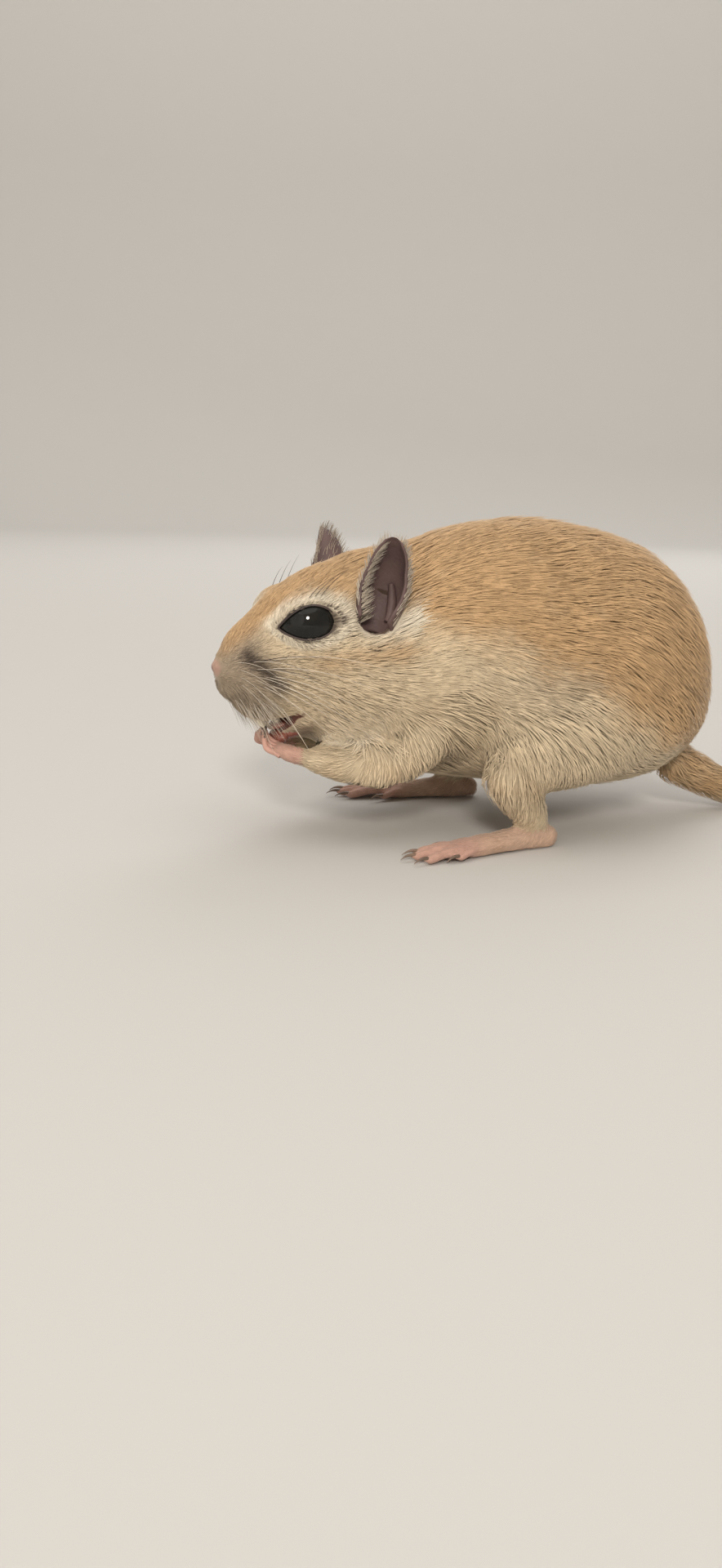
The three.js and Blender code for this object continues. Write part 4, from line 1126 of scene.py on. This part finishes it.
def layTufts(name, chosen, guard, under, unwrap, material):
    roots, picked, bent = chooseRoots(chosen, guard, under)
    owner, normals = faceOwner[picked], faceNormals[picked]
    *combed, keep = combTufts(roots, owner, normals, bent)
    roots, owner, normals, bent, *combed = (values[keep] for values in (roots, owner, normals, bent, *combed))
    guards, unders = shapeTufts(roots, normals, bent, *combed)
    spots = np.vstack([guards.reshape(-1, 3), unders.reshape(-1, 3)])
    triangles = np.vstack([
        (np.arange(len(guards))[:, None, None] * 7 + np.array(coatPlan["bent"])).reshape(-1, 3),
        (np.arange(len(unders))[:, None, None] * 4 + np.array(coatPlan["plain"])).reshape(-1, 3) + 7 * len(guards),
    ])
    tuftOf = np.concatenate([np.repeat(np.nonzero(bent)[0], 7), np.repeat(np.nonzero(~bent)[0], 4)])
    mesh = bpy.data.meshes.new(name)
    mesh.vertices.add(len(spots))
    mesh.vertices.foreach_set("co", metres(spots).astype(np.float32).ravel())
    mesh.loops.add(len(triangles) * 3)
    mesh.loops.foreach_set("vertex_index", triangles.astype(np.int32).ravel())
    mesh.polygons.add(len(triangles))
    mesh.polygons.foreach_set("loop_start", np.arange(0, len(triangles) * 3, 3, dtype=np.int32))
    mesh.polygons.foreach_set("use_smooth", np.ones(len(triangles), bool))
    mesh.update(calc_edges=True)
    mesh.materials.append(material)
    for mark, values in coatMasks(roots, owner).items():
        setField(mesh, mark, values[tuftOf])
    setField(mesh, "strand", rng.random(len(roots))[tuftOf])
    along = [np.tile((0, 0, 0, 0.6, 0.6, 0.6, 1), len(guards)), np.tile((0, 0, 0, 0.9), len(unders))]
    setField(mesh, "along", np.concatenate(along))
    half = coatPlan["patch"] / 2
    offsets = np.array([(-half, -half), (half, -half), (0, -half), (-half, 0), (half, 0), (0, 0), (0, half)])
    offsets = np.vstack([np.tile(offsets, (len(guards), 1)), np.tile(offsets[[0, 1, 2, 6]], (len(unders), 1))])
    maps = np.clip(mapPlaces(metres(roots), unwrap)[tuftOf] + offsets, 0, 1)
    layer = mesh.uv_layers.new(name="OFBake")
    layer.data.foreach_set("uv", maps[triangles.ravel()].astype(np.float32).ravel())
    share = coatPlan["softness"]
    shading = unit(normals[tuftOf] * share + vertexNormals(mesh) * (1 - share))
    mesh.normals_split_custom_set_from_vertices(shading.tolist())
    return newObject(name, mesh)


def coatRegions():
    local = toHead(faceCentres)
    x, y = local[:, 0], local[:, 1]
    bx, by, bz = faceCentres.T
    head = ownedBy(faceOwner, "head")
    trunk = ownedBy(faceOwner, "neck", "torso")
    haunch = ownedBy(faceOwner, "thigh")
    foreLimb = ownedBy(faceOwner, "upper_arm", "forearm", "forepaw")
    hindLimb = ownedBy(faceOwner, "shank", "hind_foot")
    tail = ownedBy(faceOwner, "tail")
    left = by > 0
    front = x > -9
    return {  # faces, guard tufts, tufts of the undercoat
        "coatMuzzle": (head & front, 9000, 19000),
        "coatCheekLeft": (head & ~front & (y > 0), 10500, 22000),
        "coatCheekRight": (head & ~front & (y <= 0), 7500, 15000),
        "coatShoulderLeft": (trunk & (bx > 4) & left, 10500, 20000),
        "coatShoulderRight": (trunk & (bx > 4) & ~left, 7000, 13000),
        "coatFlankLeft": (trunk & (bx <= 4) & left, 9500, 18000),
        "coatFlankRight": (trunk & (bx <= 4) & ~left, 7500, 14000),
        "coatHaunches": (haunch, 8000, 15000),
        "coatLimbs": (foreLimb | hindLimb, 8000, 15000),
        "coatTail": (tail & (bx > -104), 4500, 8000),
        "coatTailEnd": (tail & (bx <= -104), 4000, 1500),
    }


unwrap = unwrapSkin()
coatPieces = []
for name, (chosen, guard, under) in coatRegions().items():
    coatPieces.append(layTufts(name, np.nonzero(chosen)[0], guard, under, unwrap, coatFinish))
    print(name, len(coatPieces[-1].data.polygons))

# Eyes and lids
print("eyes")
lidPlan = {  # share of the opening and distance from the eye's centre, across the lid
    "around": 96,
    "inner": (0.97, 4.72),
    "edge": (0.985, 4.96),
    "crest": (1.03, 5.08),
    "outer": (1.13, 4.95),
    "under": (1.07, 4.5),
}


def turnedOut(faces, flip):
    return [tuple(reversed(f)) for f in faces] if flip else faces


def makeEye(name, sign):
    points, faces = ballMesh(eyePlan["radius"], 72, 48)
    return addMesh(name, fromHead(points + eyeFrame(sign)[0]), faces, eyeFinish)


def makeLids(name, sign):
    centre, along, up, look = eyeFrame(sign)
    outline = almond(lidPlan["around"])
    points = []
    for key in ("inner", "edge", "crest", "outer", "under"):
        scale, radius = lidPlan[key]
        flat = outline * scale
        depth = np.sqrt(np.maximum(radius**2 - (flat**2).sum(1), 0.3))
        points.append(centre + flat[:, :1] * along + flat[:, 1:] * up + depth[:, None] * look)
    faces = ringFaces(0, len(points), len(outline), closed=True)
    right = np.cross(along, up) @ look > 0
    return addMesh(name, fromHead(np.vstack(points)), turnedOut(faces, not right), lidFinish)


eyes = {sign: makeEye("eye" + side, sign) for side, sign in (("Left", 1), ("Right", -1))}
lids = [makeLids("lids" + side, sign) for side, sign in (("Left", 1), ("Right", -1))]

# Nose pad with its comma nostrils and the groove below
print("nose and mouth")
nosePlan = {
    "place": (-0.85, 0, 0.4),
    "radii": (1.1, 1.45, 1.1),
    "nostril": 0.5,
    "groove": 0.24,
    "comma": [  # places along a nostril, each with its width and share of the depth
        ((0.55, 0.6, -0.4), 0.324, 1), ((0.43, 0.85, -0.18), 0.324, 1), ((0.13, 1.1, 0.08), 0.288, 0.8),
    ],
}


def makeNose():
    points, faces = ballMesh(1, 96, 64)
    normals = unit(points / nosePlan["radii"])
    points = points * nosePlan["radii"]
    dent = np.zeros(len(points))
    for sign in (1, -1):
        for place, width, share in nosePlan["comma"]:
            apart = np.linalg.norm(points - mirrored(place, sign), axis=1)
            dent = np.maximum(dent, share * nosePlan["nostril"] * bell(apart, width))
        wing = np.linalg.norm(points - (0.4, 1.05 * sign, 0.4), axis=1)
        dent -= 0.14 * bell(wing, 0.45)
    dent += nosePlan["groove"] * bell(points[:, 1], 0.13) * smoothStep(0.5, -0.4, points[:, 2])
    points = points - normals * dent[:, None] + nosePlan["place"]
    return addMesh("nosePad", fromHead(points), faces, noseFinish)


def curveThrough(places, count):  # a smooth line through a few places
    places = np.asarray(places, float)
    spots = []
    steps = np.linspace(0, len(places) - 1, count)
    for s in steps:
        k = min(int(s), len(places) - 2)
        t = s - k
        p0, p1, p2 = places[max(k - 1, 0)], places[k], places[k + 1]
        p3 = places[min(k + 2, len(places) - 1)]
        square, cube = 2 * p0 - 5 * p1 + 4 * p2 - p3, 3 * p1 - p0 - 3 * p2 + p3
        spots.append(0.5 * (2 * p1 + (p2 - p0) * t + square * t**2 + cube * t**3))
    return np.array(spots)


def strandTree():  # lines with a thickness of their own, made round and closed at both ends
    given = {
        "Geometry": ("Geometry", None), "Thickness": ("Float", 1.0), "Sides": ("Int", 5), "Wander": ("Float", 0.0),
        "Seed": ("Int", 5), "Finish": ("Material", None),
    }
    weave, read, result, sockets = newTree("taperedStrands", "GeometryNodeTree", given, {"Geometry": "Geometry"})
    span = {0: (-1, -1, -1), 1: (1, 1, 1), "Seed": read["Seed"]}
    drift = weave.node("FunctionNodeRandomValue", span, data_type="FLOAT_VECTOR")
    offset = {0: drift.outputs[0], "Scale": read["Wander"]}
    scaled = weave.node("ShaderNodeVectorMath", offset, operation="SCALE")
    moved = weave.node("GeometryNodeSetPosition", {"Geometry": read["Geometry"], "Offset": scaled.outputs[0]})
    lines = weave.node("GeometryNodeMeshToCurve", {"Mesh": moved.outputs[0]})
    thick = weave.node("GeometryNodeInputNamedAttribute", {"Name": "thickness"}, data_type="FLOAT")
    times = weave.math("MULTIPLY", thick.outputs[0], read["Thickness"])
    radius = weave.node("GeometryNodeSetCurveRadius", {"Curve": lines.outputs[0], "Radius": times})
    ring = weave.node("GeometryNodeCurvePrimitiveCircle", {"Resolution": read["Sides"], "Radius": 1})
    given = {"Fill Caps": True, "Curve": radius.outputs[0], "Profile Curve": ring.outputs[0], "Scale": times}
    tube = weave.node("GeometryNodeCurveToMesh", given)
    smooth = weave.node("GeometryNodeSetShadeSmooth", {0: tube.outputs[0]})
    real = weave.node("GeometryNodeRealizeInstances", {0: smooth.outputs[0]})
    finish = weave.node("GeometryNodeSetMaterial", {"Geometry": real.outputs[0], "Material": read["Finish"]})
    weave.put(result[0], finish.outputs[0])
    return weave.tree, sockets


strandNodes, strandSockets = strandTree()


def makeStrands(name, lines, thickness, material, sides=5, wander=0.0, seed=5):
    # lines in the animal's millimetres, each with a radius at every place
    points = metres(np.vstack(lines))
    edges, start = [], 0
    for line in lines:
        edges += [(start + i, start + i + 1) for i in range(len(line) - 1)]
        start += len(line)
    mesh = bpy.data.meshes.new(name)
    mesh.from_pydata(points.tolist(), edges, [])
    setField(mesh, "thickness", np.concatenate(thickness) / 1000)
    piece = newObject(name, mesh)
    maker = piece.modifiers.new("strands", "NODES")
    maker.node_group = strandNodes
    maker[strandSockets["Thickness"]] = 1.0
    maker[strandSockets["Sides"]] = sides
    maker[strandSockets["Wander"]] = wander / 1000
    maker[strandSockets["Seed"]] = seed
    maker[strandSockets["Finish"]] = material
    return plainCopy(piece, name)


lipPlan = {
    "line": [(-1.4, 0.6, -7.6), (-2.6, 2.6, -8.0), (-5.4, 4.4, -8.5), (-7.4, 4.9, -9.0), (-9.2, 5.0, -9.8)],
    "thickness": (0.12, 0.17, 0.2, 0.2, 0.12),
    "tongue": ((-7.4, 0, -11.4), (2.4, 1.9, 0.75)),
    "gum": ((-4.9, 0, -8.1), (1.5, 1.7, 1.0)),
    "chin": ((-6.3, 0, -13.3), (1.5, 2.3, 1.25)),
    "floor": ((-8.6, 0, -12.9), (2.4, 3.1, 1.3)),
}


def makeMouth():
    lines, sizes = [], []
    for sign in (1, -1):
        spots = fromHead(curveThrough(mirrored(lipPlan["line"], sign), 40))
        onto, normals = onSkin(spots)
        lines.append(onto - normals * 0.08)
        sizes.append(np.interp(np.linspace(0, 4, 40), range(5), lipPlan["thickness"]))
    lips = makeStrands("lips", lines, sizes, lipFinish, 10, 0.04, 3)
    points, faces, start = [], [], 0
    for place, radii in (lipPlan[part] for part in ("tongue", "gum", "chin", "floor")):
        ball, rows = ballMesh(1, 40, 24)
        ridges = 1 + 0.03 * np.sin(ball[:, :1] * 17)
        points.append(ball * radii * ridges + place)
        faces += [tuple(i + start for i in f) for f in rows]
        start += len(ball)
    tongue = addMesh("tongueAndGum", fromHead(np.vstack(points)), faces, lipFinish)
    return lips, tongue


nosePad = makeNose()
lips, tongue = makeMouth()

# Incisors: a pair above and a pair below, each a curved chisel
toothPlan = {
    "upper": [(-4.6, -5.6, 0.56), (-4.1, -6.8, 0.58), (-3.9, -8.6, 0.55), (-4.15, -9.9, 0.5), (-4.5, -10.9, 0.42)],
    "lower": [
        (-9.4, -13.9, 0.56), (-8.4, -13.1, 0.56), (-7.2, -11.9, 0.52), (-6.7, -11.0, 0.44), (-6.4, -10.4, 0.34),
    ],
    "apart": 0.6,
    "levels": 22,
    "around": 20,
}


def makeTeeth(name, rows):
    points, faces = [], []
    levels, around = toothPlan["levels"], toothPlan["around"]
    turn = np.linspace(0, 2 * math.pi, around, endpoint=False)[:, None]
    square = (np.abs(np.cos(turn)) ** 3 + np.abs(np.sin(turn)) ** 3) ** (-1 / 3)
    flat = np.array((0, 1.0, 0))
    for sign in (1, -1):
        spots = curveThrough([(x, toothPlan["apart"] * sign, z) for x, z, r in rows], levels)
        sizes = np.interp(np.linspace(0, 4, levels), range(5), [r for x, z, r in rows])
        ways = unit(np.gradient(spots, axis=0))
        start = sum(len(p) for p in points)
        for spot, size, way in zip(spots, sizes, ways):
            rise = np.cross(flat, way)
            points.append(spot + size * square * (np.cos(turn) * flat + 0.95 * np.sin(turn) * rise))
        points[-1] = points[-1] + 0.5 * (1 - np.sin(turn)) * ways[-1] * (-0.8)  # the bevel of the cutting edge
        faces += ringFaces(start, levels, around, turned=True)
        faces.append(tuple(start + i for i in range(around))[::-1])
        faces.append(tuple(start + (levels - 1) * around + i for i in range(around)))
    return addMesh(name, fromHead(np.vstack(points)), faces, enamelFinish)


upperTeeth = makeTeeth("incisorsUpper", toothPlan["upper"])
lowerTeeth = makeTeeth("incisorsLower", toothPlan["lower"])

# Ears: thin cups with a rounded rim, dark inside, with fine pale hairs on the front and the rim
print("ears")


def makeEar(name, sign):
    arc = 36
    levels = list(np.linspace(-0.16, 0.9, 40)) + [0.925, 0.945, 0.96, 0.972, 0.982, 0.99, 0.996, 1.0]
    points = []
    for t in levels:
        wall = earPlan["wall"] * (1 - 0.3 * max(t, 0)) * min(1.0, max(0.25, (1.02 - t) * 12))
        ripple = 0.05 * math.sin(t * 23)
        shares = np.linspace(-1, 1, arc + 1)
        outer = [earSpot(sign, t, s, ripple * abs(s))[0] for s in shares]
        inner = [earSpot(sign, t, s, wall + ripple * abs(s))[0] for s in shares]
        rimA = (outer[-1] + inner[-1]) / 2 + unit(outer[-1] - outer[-2]) * wall * 0.5
        rimB = (outer[0] + inner[0]) / 2 + unit(outer[0] - outer[1]) * wall * 0.5
        points += outer + [rimA] + inner[::-1] + [rimB]
    ring = 2 * (arc + 1) + 2
    faces = ringFaces(0, len(levels), ring, turned=True)
    for base, flip in ((0, True), ((len(levels) - 1) * ring, False)):
        caps = [(base + i, base + i + 1, base + ring - 3 - i, base + ring - 2 - i) for i in range(arc)]
        caps.append((base + arc, base + arc + 1, base + arc + 2))
        caps.append((base + ring - 2, base + ring - 1, base))
        faces += turnedOut(caps, flip)
    return addMesh(name, fromHead(np.array(points)), faces, earFinish)


def earHairs(name, sign):  # short pale hairs on the outside and the rim, longer ones from the front rim
    draw = np.random.default_rng(60 + sign)
    _, up, _, face, across = earFrame(sign)
    lines, sizes = [], []
    steps = np.linspace(0, 1, 4)[:, None]
    for i in range(earPlan["hairs"][sign] + earPlan["frontHairs"]):
        inFront = i >= earPlan["hairs"][sign]
        onRim = i % 3 == 0
        t = draw.uniform(0.0, 0.97)
        share = draw.choice((-1, 1)) * draw.uniform(0.9, 1.0) if onRim else draw.uniform(-1, 1)
        if inFront:
            t, share = draw.uniform(-0.08, 0.86), sign * draw.uniform(0.78, 1.0)
        spot, out = earSpot(sign, t, share, 0.25 if inFront else 0.1)
        lean = up + out * draw.uniform(0.1, 0.35) - face * draw.uniform(0.0, 0.4) + draw.normal(0, 0.12, 3)
        reach = draw.uniform(0.9, 1.9) * (1.15 - 0.4 * t)
        if inFront:
            lean = up * 0.75 - across * sign * draw.uniform(0.35, 0.9) + face * draw.uniform(0.05, 0.35)
            reach = draw.uniform(1.6, 2.9) * (1.1 - 0.4 * t)
        elif onRim:
            lean = lean + across * 0.25 * share
        curl = -face * 0.22 * reach * steps**2
        lines.append(fromHead(spot + unit(lean) * steps * reach + curl))
        sizes.append(np.array((0.06, 0.055, 0.04, 0.012)) * draw.uniform(0.8, 1.2))
    return makeStrands(name, lines, sizes, whiskerFinish, 3)


def earFold(name, sign):  # the soft ridge low in the cup
    spots, sizes = [], []
    for k in range(16):
        share = k / 15
        spots.append(earSpot(sign, 0.02 + 0.4 * share, -sign * (0.42 - 0.3 * share), 1.1)[0])
        sizes.append(0.3 + 0.42 * math.sin(math.pi * min(1, 0.15 + share * 0.8)))
    return makeStrands(name, [fromHead(np.array(spots))], [np.array(sizes)], earFinish, 14)


ears, earFringes, earFolds = {}, [], []
for side, sign in (("Left", 1), ("Right", -1)):
    ears[sign] = makeEar("ear" + side, sign)
    earFringes.append(earHairs("earHairs" + side, sign))
    earFolds.append(earFold("earFold" + side, sign))

# Claws and fingers
print("claws and whiskers")
clawPlan = {"length": 2.5, "radius": 0.33, "fingerLength": 1.3, "fingerRadius": 0.2}
pawFinish = skinMaterial("pawSkin", (0.60, 0.35, 0.28), (0.50, 0.28, 0.225), 0.6, 0.06, 2000)


def makeClaws():
    lines, sizes = [], []
    steps = np.linspace(0, 1, 9)[:, None]
    for tip, way, radius in digitTips():
        onToe = radius == digitPlan["toeRadius"]
        length = clawPlan["length"] if onToe else clawPlan["fingerLength"]
        thick = clawPlan["radius"] if onToe else clawPlan["fingerRadius"]
        line = tip + way * (0.3 * radius + length * steps)
        if onToe:
            line = line + np.array((0, 0, 1)) * (0.3 + 0.25 * np.sin(steps * 2.4) - 0.65 * steps**2)
            line[:, 2] = np.maximum(line[:, 2], 0.2)
        lines.append(line)
        sizes.append(thick * (1 - steps[:, 0] ** 1.3 * 0.9))
    return makeStrands("claws", lines, sizes, clawFinish, 8)


def makeFingers():
    lines, sizes = [], []
    share = np.linspace(0, 1, 22)
    dome = np.sqrt(np.clip(1 - (np.maximum(share - 0.86, 0) / 0.142) ** 2, 0.01, 1))
    for sign in (1, -1):
        for side in digitPlan["fingers"]:
            knuckle, middle, tip, claw = fingerRows(sign, side)
            back, end = knuckle * 1.4 - middle * 0.4, tip + (claw - tip) * 0.35
            lines.append(curveThrough([back, knuckle, middle, tip, end], 22))
            sizes.append(digitPlan["fingerRadius"] * (1.04 - 0.14 * share + 0.05 * np.sin(share * 17)) * dome)
    return makeStrands("fingers", lines, sizes, pawFinish, 12)


# Whiskers, each a long tapered hair that droops
whiskerPlan = {
    "rows": 4,
    "columns": 5,
    "radius": 0.078,
    "beard": 90,
    "beardRadius": 0.055,
    "brow": 3,
    "browRadius": 0.06,
    "loose": [  # single hairs that hang before the cheek: root, way, length, droop and radius
        ((-6.4, 5.6, -7.0), (-0.25, 0.12, -1), 12.5, 0.8, 0.08),
        ((-3.2, 3.9, -5.0), (-0.05, 0.15, -1), 10.0, 0.6, 0.07),
    ],
}


def makeWhiskers():
    draw = np.random.default_rng(9)
    hairs = {"pale": ([], []), "dark": ([], [])}

    def hair(kind, root, way, reach, droop, radius):
        steps = np.linspace(0, 1, 14)[:, None]
        start = onSkin(fromHead([root]))[0][0]
        way = unit(np.asarray(way, float) @ headTurn.T)
        line = start + way * steps * reach + np.array((0, 0, -droop)) * steps**2
        line[:, 2] = np.maximum(line[:, 2], 0.4)
        hairs[kind][0].append(line)
        hairs[kind][1].append(radius * (1 - 0.88 * steps[:, 0]))

    for sign in (1, -1):
        for row in range(whiskerPlan["rows"]):
            for column in range(whiskerPlan["columns"]):
                root = (-2.8 - 0.95 * column, (3.4 + 0.6 * column) * sign, 0.9 - 1.15 * row - 0.25 * column)
                way = (-0.45 - 0.1 * column, (0.62 - 0.03 * row) * sign, 0.05 - 0.22 * row)
                way = np.array(way) + draw.normal(0, 0.07, 3)
                reach = 8 + 3.0 * column + draw.uniform(-1.5, 1.5)
                radius = whiskerPlan["radius"] * (0.7 + 0.09 * column)
                hair("dark" if row < 2 and column % 2 else "pale", root, way, reach, 2 + 0.2 * reach, radius)
        for i in range(whiskerPlan["beard"]):  # fine hairs that hang from the upper lip
            along = draw.uniform(0, 1)
            root = (-0.8 - 4.2 * along, (1.8 + 3.4 * along) * sign, -3.4 - draw.uniform(0, 2.6))
            way = np.array((-0.2 - 0.3 * along, 0.12 * sign, -1)) + draw.normal(0, 0.09, 3)
            hair("pale", root, way, draw.uniform(3.6, 7.4), 0.5, whiskerPlan["beardRadius"])
        for i in range(whiskerPlan["brow"]):
            root, way = (-15 - 1.2 * i, 8.3 * sign, 7.2), (-0.7, 0.45 * sign, 0.6)
            hair("dark", root, way, 7 + i, 2, whiskerPlan["browRadius"])
    for row in whiskerPlan["loose"]:
        hair("pale", *row)
    return [
        makeStrands("whiskersPale", *hairs["pale"], whiskerFinish, 5),
        makeStrands("whiskersDark", *hairs["dark"], darkHairFinish, 5),
    ]


claws = makeClaws()
fingers = makeFingers()
whiskers = makeWhiskers()

# Each piece rides on the one body, and stands for its nodes
print("finish")
standsFor = {
    skin: fleshNodes,
    eyes[1]: ["eye_left"],
    eyes[-1]: ["eye_right"],
    ears[1]: ["ear_left"],
    ears[-1]: ["ear_right"],
    upperTeeth: ["upper_incisors"],
    lowerTeeth: ["lower_incisors"],
    coatPieces[-1]: ["tail_tuft"],
}
slots = {"golden_coat": [p for p in coatPieces if "Tail" not in p.name][:7], "cream_coat": [skin] + coatPieces[7:9]}
slots["tuft_coat"] = [p for p in coatPieces if "Tail" in p.name]
slots.update(
    ear_skin=list(ears.values()) + earFolds,
    eye=list(eyes.values()),
    enamel=[upperTeeth, lowerTeeth],
    claw=[claws],
    foot_skin=[fingers],
    nose_skin=[nosePad, lips, tongue] + lids,
    whisker=whiskers + earFringes,
)
for slot, pieces in slots.items():
    for piece in pieces:
        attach(piece, "root")
for piece, names in standsFor.items():
    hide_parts(*names)
total = 0
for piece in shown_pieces():
    piece.data.calc_loop_triangles()
    total += len(piece.data.loop_triangles)
print("triangles", total)
